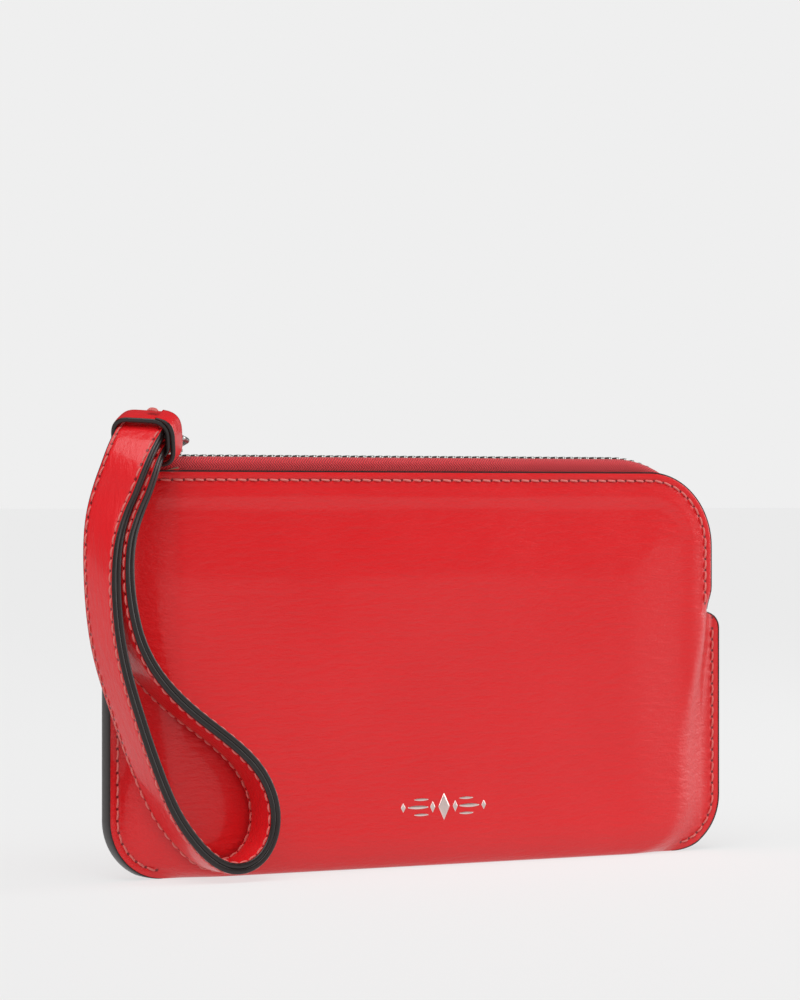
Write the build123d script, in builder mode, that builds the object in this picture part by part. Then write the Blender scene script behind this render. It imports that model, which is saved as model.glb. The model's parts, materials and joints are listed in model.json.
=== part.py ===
"""Leather wristlet wallet with an L-shaped zip and a wrist strap, in millimetres.

Frame: origin on the floor under the middle of the bottom fold, +X along the width,
-Y towards the front, +Z up.  The wallet stands on its bottom fold.
"""
from math import cos, degrees, radians, sin
import os

from build123d import *

# ---- driving dimensions --------------------------------------------------------
wallet_width = 196.0        # left seam edge to right seam edge
panel_height = 109.0        # floor to the top edge of the two panels
belly_depth = 18.4          # front face to back face where the pouch is fullest
mouth_depth = 16.0          # the same at the zip, where both panels stand parallel
fold_flat = 13.0            # flat strip under the bottom fold that the wallet stands on
leather = 1.3               # outer leather
stiffener = 0.5             # board between leather and lining
lining = 0.4                # lining cloth
seam_squeeze = 0.02         # how much thinner a sewn edge is than its layers
seam_margin = 5.5           # flat sewn edge
pinch_width = 16.0          # from the sewn edge to the full depth
bottom_corner = 16.0        # outline radii
left_corner = 12.0
zip_corner = 21.0
step_height = 68.6          # where the side zip ends and the right seam begins
step_back = 6.5             # how far the zip side is set in from the right seam edge
step_corner = 4.5
step_hollow = 1.5           # inside corner of the step
ramp_height = 14.0          # the seam spreads to the mouth over this height

zip_rise = 4.0              # top of the tape above the panel edge
zip_side_rise = 1.2         # the same at the side
zip_turn = 32.0             # radius of the tape's corner
tape = 0.5                  # tape thickness
tape_leg = 14.0             # depth of the tape's sewn side, from its top
zip_start_inset = 10.0      # from the left seam edge to the tape's left end
tooth_pitch = 2.6
tooth_length = 1.1
tooth_reach = 2.4           # from the zip's centre line to the tape's edge
tooth_hook = 0.7            # how far a tooth passes the centre line
tooth_height = 1.7
stop_length = 1.8

slider_length = 10.0
slider_width = 8.4
slider_lip = 1.0
plate = 0.95                # slider plates
slider_gap = 0.25           # between slider and tape, above and below
channel_gap = 0.5           # between slider and teeth, above and below
post_length = 2.0
post_width = 1.8
bail_length = 6.2
bail_width = 1.4
bail_bar = 1.0
bail_hole = 2.6             # height of the hole under the bail

ring_wire = 1.4
ring_width = 14.0           # inside width of the ring at its far bar
ring_near = 6.4             # and at its near bar, in the bail
ring_length = 12.8          # between the centre lines of its two bars
ring_corner = 1.1
ring_square = 4.8           # straight part of its arms beside the strap
ring_yaw = 45.0             # turn of the ring towards the front
ring_roll = 4.0             # its front end is lower
ring_tilt = 9.0             # its far bar is higher

strap_width = 13.0
strap_layer = 1.5           # each of the two leather layers
strap_gap = 0.2             # strap to ring bar
strap_clear = 0.44          # strap to the fullest place of the front panel
wrap_step = 22.5            # turn between places on the strap's wrap, in degrees
twist_from = 20.0           # the strap leans with the ring where it is turned further than this
thread = 0.6
thread_proud = 0.25
stitch_inset = 2.3
keeper_length = 7.0
keeper_wall = 1.3
keeper_height = 10.6        # inside
keeper_gap = 0.3            # each side of the strap
keeper_round = 2.0          # outside corners, past the wall
keeper_fit = 0.5            # inside corners
keeper_place = (-5.7, -5.6, -0.7)   # its middle, from the ring's far bar
keeper_yaw = 45.0
keeper_tilt = 20.0
tack_length = 3.0

half = wallet_width / 2
layers = leather + stiffener + lining
seam_half = layers - seam_squeeze
belly = belly_depth / 2
mouth = mouth_depth / 2
fold_radius = belly - fold_flat / 2
zip_left = half - zip_start_inset
zip_side = half - step_back
far = 60.0                  # cutting solids run this far past the wallet

os.makedirs("parts", exist_ok=True)


# ---- pouch layers --------------------------------------------------------------
panel_points = [
    (-half, 0), (half, 0), (half, step_height), (zip_side, step_height),
    (zip_side, panel_height), (-half, panel_height),
]
panel_radii = [bottom_corner, bottom_corner, step_corner, step_hollow, zip_corner, left_corner]


def panel_block():
    """The sewn panels' outline seen from the front, as a block from front to back."""
    with BuildPart() as block:
        with BuildSketch(Plane.XZ):
            with BuildLine():
                FilletPolyline(*panel_points, radius=panel_radii, close=True)
            make_face()
        extrude(amount=far, both=True)
    return block.part


def pinch(side, inset, spread_from, spread_to, depth_from, depth_to):
    """Block in front of a side seam, and its twin behind, which squeeze the pouch there."""
    near = depth_from - inset
    deep = depth_to - inset
    with BuildPart() as blocks:
        with BuildSketch(Plane.XY.offset(-far)):
            with BuildLine():
                ease = Spline(
                    (side * spread_from, near), (side * spread_to, deep),
                    tangents=[(-side, 0), (-side, 0)],
                )
                Polyline(ease @ 1, (side * spread_to, far), (side * 2 * half, far),
                         (side * 2 * half, near), ease @ 0)
            make_face()
            mirror(about=Plane.XZ)
        extrude(amount=4 * far)
    return blocks.part


def ramp(inset):
    """Front and back blocks below the zip's end: the depth opens from the seam to the mouth."""
    low = (seam_half - inset, step_height - ramp_height)
    high = (belly - inset, step_height + step_corner)
    with BuildPart() as blocks:
        with BuildSketch(Plane.YZ.offset(-2 * half)):
            with BuildLine():
                rise = Spline(low, high, tangents=[(0, 1), (0, 1)])
                Polyline(rise @ 1, (far, high[1]), (far, -far), (low[0], -far), rise @ 0)
            make_face()
            mirror(about=Plane.YZ)
        extrude(amount=4 * half)
    return blocks.part


def pouch(inset):
    """The pouch's body inside its outer surface by an inset, without its outline."""
    round_fold = fold_radius - inset
    flat = fold_flat / 2
    lip = panel_height - tape_leg + zip_rise
    with BuildPart() as body:
        with BuildSketch(Plane.YZ.offset(-2 * half)):
            with BuildLine():
                base = Line((0, inset), (flat, inset))
                fold = RadiusArc(base @ 1, (belly - inset, fold_radius), -round_fold)
                side = Polyline(fold @ 1, (belly - inset, step_height), (mouth - inset, lip),
                                (mouth - inset, 2 * panel_height), (0, 2 * panel_height), base @ 0)
            make_face()
            mirror(about=Plane.YZ)
        extrude(amount=4 * half)
        sewn_to = half - seam_margin
        add(pinch(-1, inset, sewn_to, sewn_to - pinch_width, seam_half, belly), mode=Mode.SUBTRACT)
        add(pinch(1, inset, zip_side - step_back, zip_side - zip_corner, mouth, belly),
            mode=Mode.SUBTRACT)
        add(right_pinch(inset), mode=Mode.SUBTRACT)
    return body.part


def right_pinch(inset):
    """What the right seam squeezes out of the pouch, below the zip only."""
    sewn_to = half - seam_margin
    with BuildPart() as squeezed:
        add(pinch(1, inset, sewn_to, sewn_to - pinch_width, seam_half, belly))
        add(ramp(inset), mode=Mode.INTERSECT)
    return squeezed.part


panel_shape = panel_block()
outer_body = pouch(0)
board_body = pouch(leather)
lining_body = pouch(leather + stiffener)
inner_body = pouch(layers)

with BuildPart() as leather_shell:
    add(outer_body)
    add(board_body, mode=Mode.SUBTRACT)
    add(panel_shape, mode=Mode.INTERSECT)

with BuildPart() as pouch_walls:
    add(outer_body)
    add(inner_body, mode=Mode.SUBTRACT)
    add(panel_shape, mode=Mode.INTERSECT)


def half_layer(outer, inner, front, from_height):
    """One panel's share of a layer, above a height."""
    centre = -far if front else far
    with BuildPart() as layer:
        add(outer)
        add(inner, mode=Mode.SUBTRACT)
        add(panel_shape, mode=Mode.INTERSECT)
        with Locations((0, centre, from_height + far * 2)):
            Box(4 * half, 2 * far, 4 * far, mode=Mode.INTERSECT)
    return layer.part


with BuildPart() as front_stiffener:
    add(half_layer(board_body, lining_body, True, fold_radius))

with BuildPart() as back_stiffener:
    add(half_layer(board_body, lining_body, False, fold_radius))

with BuildPart() as front_lining:
    add(half_layer(lining_body, inner_body, True, 0))

with BuildPart() as back_lining:
    add(half_layer(lining_body, inner_body, False, 0))


# ---- zip -----------------------------------------------------------------------
tape_top = panel_height + zip_rise
tape_side = zip_side + zip_side_rise
turn_x = tape_side - zip_turn
turn_z = tape_top - zip_turn
zip_end = step_height + step_corner
tooth_z = tape_top - tape / 2
tooth_side = tape_side - tape / 2
turn_mid = zip_turn - tape / 2


def corner_band(top_z, side_x, turn, depth, start, end):
    """Block between a line that turns down a corner and the same line a depth inside it."""
    turn_at_x = side_x - turn
    turn_at_z = top_z - turn
    with BuildPart() as band:
        with BuildSketch(Plane.XZ):
            with BuildLine():
                top = Line((start, top_z), (turn_at_x, top_z))
                bend = RadiusArc(top @ 1, (side_x, turn_at_z), turn)
                down = Polyline(bend @ 1, (side_x, end), (side_x - depth, end),
                                (side_x - depth, turn_at_z))
                back = RadiusArc(down @ 1, (turn_at_x, top_z - depth), depth - turn)
                Polyline(back @ 1, (start, top_z - depth), top @ 0)
            make_face()
        extrude(amount=far, both=True)
    return band.part


def slab(y_from, y_to):
    """Everything between two depths, front to back."""
    with BuildPart() as space:
        with Locations((0, (y_from + y_to) / 2, panel_height)):
            Box(4 * half, abs(y_to - y_from), 4 * panel_height)
    return space.part


tape_edge = mouth - layers
flange_band = corner_band(tape_top, tape_side, zip_turn, tape, -zip_left, zip_end)
leg_band = corner_band(tape_top, tape_side, zip_turn, tape_leg, -zip_left, zip_end)


def zip_tape(side):
    """Tape: a flange that carries the teeth, bent down and sewn inside the panel."""
    with BuildPart() as leg:
        add(leg_band)
        add(slab(side * (tape_edge - tape), side * tape_edge), mode=Mode.INTERSECT)
        add(pouch_walls.part, mode=Mode.SUBTRACT)
    with BuildPart() as flange:
        add(flange_band)
        add(slab(side * tooth_reach, side * (tape_edge - tape)), mode=Mode.INTERSECT)
    with BuildPart() as whole:
        add(leg.part)
        add(flange.part)
    return whole.part


with BuildPart() as zip_tape_front:
    add(zip_tape(-1))

with BuildPart() as zip_tape_back:
    add(zip_tape(1))

first_tooth = -zip_left + stop_length + slider_length / 2
last_tooth = zip_end + tooth_pitch
straight = turn_x - first_tooth
bend = turn_mid * radians(90)
drop = turn_z - last_tooth


def zip_place(travel):
    """Place on the zip's centre line a way along it: X, Z and the turn in degrees."""
    if travel < straight:
        return first_tooth + travel, tooth_z, 0.0
    if travel < straight + bend:
        angle = (travel - straight) / turn_mid
        return turn_x + turn_mid * sin(angle), turn_z + turn_mid * cos(angle), degrees(angle)
    return tooth_side, turn_z - (travel - straight - bend), 90.0


def teeth(side, first):
    """One side's row of teeth, each hooked past the centre line."""
    count = int((straight + bend + drop - first) / tooth_pitch)
    middle = side * (tooth_reach - tooth_hook) / 2
    with BuildPart() as row:
        for index in range(count):
            x, z, turn = zip_place(first + index * tooth_pitch)
            with Locations(Location((x, middle, z), (0, turn, 0))):
                Box(tooth_length, tooth_reach + tooth_hook, tooth_height)
    return row.part


with BuildPart() as zip_teeth_front:
    add(teeth(-1, tooth_length))

with BuildPart() as zip_teeth_back:
    add(teeth(1, tooth_length + tooth_pitch / 2))

with BuildPart() as zip_top_stops:
    for side in (-1, 1):
        with Locations((-zip_left + stop_length / 2, side * (tooth_reach - tooth_hook), tooth_z)):
            Box(stop_length, 2 * tooth_hook, tooth_height)

with BuildPart() as zip_end_stop:
    with Locations((tooth_side, 0, zip_end + stop_length / 2)):
        Box(tooth_height, 2 * tooth_reach, stop_length)

# ---- slider, bail and ring -----------------------------------------------------
slider_left = -zip_left + stop_length + slider_gap
slider_x = slider_left + slider_length / 2
channel_low = tooth_z - tooth_height / 2 - channel_gap
channel_high = tooth_z + tooth_height / 2 + channel_gap
slot_low = tape_top - tape - slider_gap
slot_high = tape_top + slider_gap
slider_top = channel_high + plate

with BuildPart() as slider_body:
    with BuildSketch(Plane.XY.offset(channel_low - plate)):
        with Locations((slider_x, 0)):
            RectangleRounded(slider_length, slider_width, slider_lip)
    extrude(amount=slider_top - channel_low + plate)
    with Locations((slider_x, 0, (channel_low + channel_high) / 2)):
        Box(slider_length, slider_width - 2 * slider_lip, channel_high - channel_low,
            mode=Mode.SUBTRACT)
    with Locations((slider_x, 0, (slot_low + slot_high) / 2)):
        Box(slider_length, slider_width, slot_high - slot_low, mode=Mode.SUBTRACT)
    with Locations((slider_left + post_length / 2, 0, (channel_low + channel_high) / 2)):
        Box(post_length, post_width, channel_high - channel_low)

bail_x = slider_left + slider_length - bail_length / 2 - slider_gap

with BuildPart() as slider_bail:
    with BuildSketch(Plane.XZ):
        with Locations((bail_x, slider_top + (bail_hole + bail_bar) / 2)):
            Rectangle(bail_length, bail_hole + bail_bar)
        with Locations((bail_x, slider_top + bail_hole / 2)):
            Rectangle(bail_length - 2 * bail_bar, bail_hole, mode=Mode.SUBTRACT)
    extrude(amount=bail_width / 2, both=True)

yaw = radians(ring_yaw)
roll = radians(ring_roll)
tilt = radians(ring_tilt)
across = Vector(sin(yaw) * cos(roll), -cos(yaw) * cos(roll), -sin(roll))
outward = Vector(-cos(yaw) * cos(tilt), -sin(yaw) * cos(tilt), sin(tilt))
near_bar = Vector(bail_x, 0, slider_top + bail_hole / 2)
ring_plane = Plane(origin=near_bar, x_dir=across, z_dir=across.cross(outward))
ring_wide = ring_width + ring_wire
far_bar = ring_plane.from_local_coords(Vector(0, ring_length, 0))

with BuildSketch(ring_plane) as ring_shape:
    with BuildLine():
        Polyline(
            (ring_near / 2, 0), (ring_wide / 2, ring_length - ring_square),
            (ring_wide / 2, ring_length), (-ring_wide / 2, ring_length),
            (-ring_wide / 2, ring_length - ring_square), (-ring_near / 2, 0), close=True,
        )
    make_face()
    fillet(ring_shape.vertices(), ring_corner)
ring_path = ring_shape.sketch.face().outer_wire()

with BuildPart() as pull_ring:
    with BuildSketch(Plane(origin=ring_path @ 0, z_dir=ring_path % 0)):
        Circle(ring_wire / 2)
    sweep(path=ring_path)

# ---- wrist strap ---------------------------------------------------------------
# One closed loop of two leather layers.  It starts inside the keeper, goes round the
# ring's far bar, back through the keeper, down the left of the wallet, round in front
# of it and up again.  Each place is X, Y, Z from the ring's far bar, and the turn of
# the strap's width from front-to-back.
strap_half = strap_layer                      # from the strap's middle to either face
wrap_radius = ring_wire / 2 + strap_gap + strap_half
lower_start = [(-5.4, -5.2, -3.1, 45), (-2.9, -2.8, -2.4, 45)]
front_run = -(belly + strap_clear + strap_width / 2) - far_bar.Y   # its depth before the wallet
upper_run = [
    (-2.9, -2.8, 2.5, 45), (-5.8, -5.6, 1.9, 45), (-8.6, -8.4, -0.0, 44), (-11.7, -10.3, -3.5, 40),
    (-13.8, -10.5, -8.3, 33), (-15.0, -9.0, -12.9, 29), (-16.1, -7.3, -17.3, 28),
    (-17.8, front_run, -23.5, 21), (-18.7, front_run, -30.3, 13), (-18.7, front_run, -40.3, 10),
    (-17.8, front_run, -50.3, 9), (-16.3, front_run, -58.3, 8), (-13.7, front_run, -66.8, 6),
    (-8.9, front_run, -79.8, 4), (-2.7, front_run, -95.5, 3), (2.0, front_run, -102.8, 1),
    (7.4, front_run, -109.1, 0), (12.7, front_run, -113.4, 0), (18.4, front_run, -115.1, 0),
    (24.2, front_run, -113.4, 0), (28.4, front_run, -108.4, 0), (30.0, front_run, -100.4, 0),
    (27.1, front_run, -91.7, 0), (21.0, front_run, -84.1, 0), (10.0, front_run, -76.6, 0),
    (-2.0, front_run, -67.4, 2), (-9.2, front_run, -58.2, 5), (-12.6, front_run, -50.4, 8),
    (-14.6, front_run, -40.4, 10), (-15.1, front_run, -30.0, 13), (-14.0, front_run, -23.3, 21),
    (-12.2, -7.3, -17.1, 28), (-11.1, -8.7, -12.9, 29), (-10.3, -9.7, -9.1, 33),
    (-9.1, -8.9, -6.2, 40), (-7.1, -6.9, -4.0, 45), (-5.9, -5.7, -3.3, 45),
]


def width_at(turn):
    """Direction of the strap's width where it is turned by an angle in degrees."""
    angle = radians(turn)
    drop = roll if turn > twist_from else 0
    return Vector(sin(angle) * cos(drop), -cos(angle) * cos(drop), -sin(drop))


def strap_centres():
    """Middle line of the strap: each place with the direction of its width."""
    places = [(far_bar + Vector(x, y, z), width_at(turn)) for x, y, z, turn in lower_start]
    back = -ring_plane.y_dir
    up = across.cross(back)
    steps = int(180 / wrap_step)
    for index in range(steps + 1):
        angle = radians(-90 + index * wrap_step)
        reach = back * (wrap_radius * cos(angle)) + up * (wrap_radius * sin(angle))
        places.append((far_bar + reach, across))
    for x, y, z, turn in upper_run:
        places.append((far_bar + Vector(x, y, z), width_at(turn)))
    return places


def strap_planes():
    """A plane across the strap at each place: X along its width, Y outward from the loop."""
    places = strap_centres()
    last = len(places) - 1
    planes = []
    for index, (centre, width) in enumerate(places):
        before = places[max(index - 1, 0)][0]
        after = places[min(index + 1, last)][0]
        along = (after - before).normalized()
        width = (width - along * width.dot(along)).normalized()
        planes.append(Plane(origin=centre, x_dir=width, z_dir=along))
    return planes


def ribbon(width, thickness, sideways, outward_by):
    """A strip that follows the strap, off its middle line by two distances."""
    with BuildPart() as strip:
        for plane in strap_sections:
            with BuildSketch(plane):
                with Locations((sideways, outward_by)):
                    Rectangle(width, thickness)
        loft(ruled=True)
    return strip.part


strap_sections = strap_planes()
row_at = strap_width / 2 - stitch_inset / 2

with BuildPart() as strap_outer_layer:
    add(ribbon(strap_width, strap_layer, 0, strap_layer / 2))

with BuildPart() as strap_inner_layer:
    add(ribbon(strap_width, strap_layer, 0, -strap_layer / 2))

with BuildPart() as strap_thread_front:
    add(ribbon(thread, thread_proud, row_at, strap_layer + thread_proud / 2))

with BuildPart() as strap_thread_back:
    add(ribbon(thread, thread_proud, -row_at, strap_layer + thread_proud / 2))

keeper_turn = radians(keeper_yaw)
keeper_fall = radians(keeper_tilt)
keeper_along = Vector(
    -cos(keeper_turn) * cos(keeper_fall), -sin(keeper_turn) * cos(keeper_fall), -sin(keeper_fall),
)
keeper_across = Vector(sin(keeper_turn) * cos(roll), -cos(keeper_turn) * cos(roll), -sin(roll))
keeper_across = keeper_across - keeper_along * keeper_across.dot(keeper_along)
keeper_middle = far_bar + Vector(*keeper_place)
keeper_plane = Plane(origin=keeper_middle, x_dir=keeper_across, z_dir=keeper_along)
keeper_inside = strap_width + 2 * keeper_gap

with BuildPart() as keeper_band:
    with BuildSketch(keeper_plane.offset(-keeper_length / 2)):
        RectangleRounded(keeper_inside + 2 * keeper_wall, keeper_height + 2 * keeper_wall,
                         keeper_round + keeper_wall)
        RectangleRounded(keeper_inside, keeper_height, keeper_fit, mode=Mode.SUBTRACT)
    extrude(amount=keeper_length)

with BuildPart() as keeper_tack:
    with BuildSketch(keeper_plane.offset(-thread / 2)):
        with Locations((0, keeper_height / 2 + keeper_wall + thread_proud / 2)):
            Rectangle(tack_length, thread_proud)
    extrude(amount=thread)

# ---- seam threads --------------------------------------------------------------
zip_thread_from = -half + seam_margin + pinch_width


def zip_thread(side):
    """The stitching beside the zip, as one bead along the panel's edge."""
    inset = stitch_inset - thread / 2
    path = corner_band(panel_height - inset, zip_side - inset, zip_corner - inset, thread,
                       zip_thread_from, zip_end + step_corner)
    with BuildPart() as bead:
        add(path)
        add(slab(side * mouth, side * (mouth + thread_proud)), mode=Mode.INTERSECT)
    return bead.part


def side_thread(x, low, high):
    """The stitching of a side seam, a bead on both faces."""
    with BuildPart() as bead:
        for side in (-1, 1):
            with Locations((x, side * (seam_half + thread_proud / 2), (low + high) / 2)):
                Box(thread, thread_proud, high - low)
    return bead.part


with BuildPart() as zip_thread_front:
    add(zip_thread(-1))

with BuildPart() as zip_thread_back:
    add(zip_thread(1))

with BuildPart() as left_seam_thread:
    add(side_thread(-half + stitch_inset, bottom_corner, panel_height - left_corner))

with BuildPart() as right_seam_thread:
    add(side_thread(half - stitch_inset, bottom_corner, step_height - ramp_height))

# ---- one file for each piece ---------------------------------------------------
pieces = {
    "leather_shell": leather_shell,
    "front_stiffener": front_stiffener,
    "back_stiffener": back_stiffener,
    "front_lining": front_lining,
    "back_lining": back_lining,
    "zip_tape_front": zip_tape_front,
    "zip_tape_back": zip_tape_back,
    "zip_teeth_front": zip_teeth_front,
    "zip_teeth_back": zip_teeth_back,
    "zip_top_stops": zip_top_stops,
    "zip_end_stop": zip_end_stop,
    "zip_thread_front": zip_thread_front,
    "zip_thread_back": zip_thread_back,
    "left_seam_thread": left_seam_thread,
    "right_seam_thread": right_seam_thread,
    "slider_body": slider_body,
    "slider_bail": slider_bail,
    "pull_ring": pull_ring,
    "strap_outer_layer": strap_outer_layer,
    "strap_inner_layer": strap_inner_layer,
    "strap_thread_front": strap_thread_front,
    "strap_thread_back": strap_thread_back,
    "keeper_band": keeper_band,
    "keeper_tack": keeper_tack,
}

for name, piece in pieces.items():
    piece.part.label = name
    export_step(piece.part, f"parts/{name}.step")

print("near bar", near_bar, "far bar", far_bar, "bar direction", across)
print("slider travel", turn_x - slider_left - slider_length)
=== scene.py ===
# %% [markdown]
# # A leather wristlet wallet, cell by cell
# The imported model is the frame: it says where every piece sits. It is loaded first, and its
# boxes are kept for the sizes and places of the new pieces. No surface made later may grow
# past it by more than a finger's breadth.

# %% Load the frame
import json
import math
import bmesh
import bpy
import mathutils
import numpy as np
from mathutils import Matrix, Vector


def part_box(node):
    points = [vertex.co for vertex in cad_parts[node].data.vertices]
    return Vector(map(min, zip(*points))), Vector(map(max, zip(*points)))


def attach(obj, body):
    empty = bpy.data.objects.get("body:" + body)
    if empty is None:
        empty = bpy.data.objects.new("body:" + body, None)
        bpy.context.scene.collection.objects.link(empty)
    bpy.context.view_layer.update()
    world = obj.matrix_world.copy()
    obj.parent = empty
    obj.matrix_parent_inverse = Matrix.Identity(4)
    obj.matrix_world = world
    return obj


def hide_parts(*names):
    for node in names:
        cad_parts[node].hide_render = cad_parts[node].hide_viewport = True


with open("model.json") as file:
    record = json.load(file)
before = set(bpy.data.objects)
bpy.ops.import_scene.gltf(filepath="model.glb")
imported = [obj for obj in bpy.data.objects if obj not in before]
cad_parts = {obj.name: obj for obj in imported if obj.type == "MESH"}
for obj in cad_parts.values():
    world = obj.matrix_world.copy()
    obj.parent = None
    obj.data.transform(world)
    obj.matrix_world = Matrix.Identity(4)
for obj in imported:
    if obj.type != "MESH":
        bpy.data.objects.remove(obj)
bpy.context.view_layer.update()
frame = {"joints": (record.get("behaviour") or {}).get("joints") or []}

# %% [markdown]
# ## Sizes
# A maker works from a cutting pattern. These are its sizes in millimetres, and the box of a CAD
# node gives the places, so the leather follows the frame if the frame changes.

# %% The wallet's sizes, read from the frame
mm = 0.001


def node_box(node):
    """Lowest and highest corner of a CAD node, in millimetres."""
    low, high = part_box(node)
    return np.array(low) / mm, np.array(high) / mm


shell_low, shell_high = node_box("leather_shell")
half = shell_high[0]
top = shell_high[2]
belly = shell_high[1]
tape_high = node_box("zip_tape_front")[1]
tape_top = tape_high[2]
tape_side = tape_high[0]
leather = 1.3               # thicknesses of the three layers
board = 0.5
lining = 0.4
seam_half = leather + board + lining
mouth = 8.0                 # half depth at the zip
step = 68.6                 # height where the zip side ends and the right seam begins
step_back = 6.5             # how far the zip side is set in from the seam edge
zip_side = half - step_back
bottom_corner = 16.0        # radii of the outline
zip_corner = 21.0
stitch_pitch = 3.2
stitch_inset = 2.3          # from a stitch row to the edge
strap_pitch = 3.3
strap_inset = 1.15
print("half width", half, "top", top, "belly", belly, "zip side", zip_side)

# %% [markdown]
# ## Surfaces from arrays
# Everything new is a grid of points worked out with numpy. Two numbers, a row and a column, name
# each point, so the faces are the same for any grid: each joins a point to its three neighbours.
# Tubes close a grid on itself, and caps close their ends.

# %% Faces of a grid
def grid_faces(rows, columns, round_rows=False, round_columns=False):
    """Quads of a grid. A face's front looks along (row step) x (column step)."""
    row = np.arange(rows if round_rows else rows - 1)
    column = np.arange(columns if round_columns else columns - 1)
    row, column = np.meshgrid(row, column, indexing="ij")
    next_row = (row + 1) % rows
    next_column = (column + 1) % columns
    corners = [row * columns + column, next_row * columns + column,
               next_row * columns + next_column, row * columns + next_column]
    return np.stack(corners, axis=-1).reshape(-1, 4)


def tube_faces(rows, columns):
    """Faces of an open tube of rings. The point after the last ring's closes the first ring with
    a fan, and the point after that closes the last ring."""
    faces = grid_faces(rows, columns, False, True).tolist()
    last, pole = (rows - 1) * columns, rows * columns
    column = np.arange(columns)
    after = (column + 1) % columns
    tip = np.full(columns, pole)
    near = np.stack([column, after, tip], axis=-1)
    far = np.stack([last + after, last + column, tip + 1], axis=-1)
    return faces + near.tolist() + far.tolist()


def smoothstep(value):
    """0 below 0, 1 above 1, and an S-curve with level ends between: 3v^2 - 2v^3."""
    value = np.clip(value, 0.0, 1.0)
    return value * value * (3.0 - 2.0 * value)


# %% A Blender piece from points and faces
def face_outward(mesh):
    """Turns every face of a closed mesh to look away from its inside."""
    work = bmesh.new()
    work.from_mesh(mesh)
    bmesh.ops.recalc_face_normals(work, faces=work.faces)
    work.to_mesh(mesh)
    work.free()


def make_piece(name, points, faces, materials, face_material=None, maps=None):
    """A mesh object from points in millimetres. maps gives a UV map's name and a (u, v) for
    each point, and face_material numbers the material of each face."""
    mesh = bpy.data.meshes.new(name)
    mesh.from_pydata((np.asarray(points, dtype=float).reshape(-1, 3) * mm).tolist(), [],
                     [list(map(int, face)) for face in faces])
    for material in materials:
        mesh.materials.append(material)
    corners = np.empty(len(mesh.loops), dtype=np.int32)
    mesh.loops.foreach_get("vertex_index", corners)
    for map_name, coordinates in (maps or {}).items():
        layer = mesh.uv_layers.new(name=map_name)
        layer.data.foreach_set("uv", np.asarray(coordinates, dtype=np.float32)[corners].ravel())
    if face_material is not None:
        mesh.polygons.foreach_set("material_index", np.asarray(face_material, dtype=np.int32))
    mesh.polygons.foreach_set("use_smooth", np.ones(len(mesh.polygons), dtype=bool))
    mesh.update()
    if len(faces) > 1:
        face_outward(mesh)
    obj = bpy.data.objects.new(name, mesh)
    bpy.context.collection.objects.link(obj)
    return obj


# %% [markdown]
# ## Materials
# Each material starts from what the real one is. A colour is written as the sRGB hex value that
# a painter would pick, and one function turns it to the linear light that the renderer needs.
# One small function adds a node with its settings and links.

# %% Colours, nodes and a plain shader
def colour(text):
    """Linear red, green, blue and alpha of an sRGB hex value."""
    parts = [int(text[place:place + 2], 16) / 255 for place in (1, 3, 5)]
    return [part / 12.92 if part <= 0.04045 else ((part + 0.055) / 1.055) ** 2.4
            for part in parts] + [1.0]


def add_node(material, kind, settings=None, links=None, **values):
    """A node of a kind. settings are its properties, values its input sockets' numbers, and
    links its input sockets' sources as (node, output)."""
    node = material.node_tree.nodes.new(kind)
    for key, value in (settings or {}).items():
        setattr(node, key, value)
    for key, value in values.items():
        node.inputs[key.replace("_", " ")].default_value = value
    for key, (source, output) in (links or {}).items():
        material.node_tree.links.new(source.outputs[output], node.inputs[key])
    return node


def colour_mix(material, factor, low, high):
    """From one hex colour to another by a factor given as (node, output)."""
    mix = add_node(material, "ShaderNodeMix", {"data_type": "RGBA"}, {"Factor": factor})
    mix.inputs[6].default_value = colour(low)
    mix.inputs[7].default_value = colour(high)
    return mix


def arithmetic(material, operation, first, second=None):
    """A sum or other operation on (node, output) and either another or a number."""
    node = add_node(material, "ShaderNodeMath", {"operation": operation}, {0: first})
    if isinstance(second, tuple):
        material.node_tree.links.new(second[0].outputs[second[1]], node.inputs[1])
    elif second is not None:
        node.inputs[1].default_value = second
    return node


def relief(material, height, strength, depth, under=None):
    """A bump of a depth in millimetres, laid over another bump if one is given."""
    links = {"Height": height} if under is None else {"Height": height, "Normal": (under, "Normal")}
    return add_node(material, "ShaderNodeBump", None, links, Strength=strength, Distance=depth * mm)


def object_noise(material, place, output, grain, **values):
    """Noise with a grain size in millimetres, on coordinates of the object."""
    return add_node(material, "ShaderNodeTexNoise", None, {"Vector": (place, output)},
                    Scale=1 / (grain * mm), **values)


def new_material(name, roughness, metallic=0.0, ior=1.5):
    """A material with one Principled shader, and that shader."""
    material = bpy.data.materials.new(name)
    material.use_nodes = True
    shader = material.node_tree.nodes["Principled BSDF"]
    shader.inputs["Roughness"].default_value = roughness
    shader.inputs["Metallic"].default_value = metallic
    shader.inputs["IOR"].default_value = ior
    return material, shader


def feed(material, shader, **sources):
    """Links a shader's sockets to (node, output)."""
    for key, (source, output) in sources.items():
        material.node_tree.links.new(source.outputs[output], shader.inputs[key.replace("_", " ")])
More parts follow.
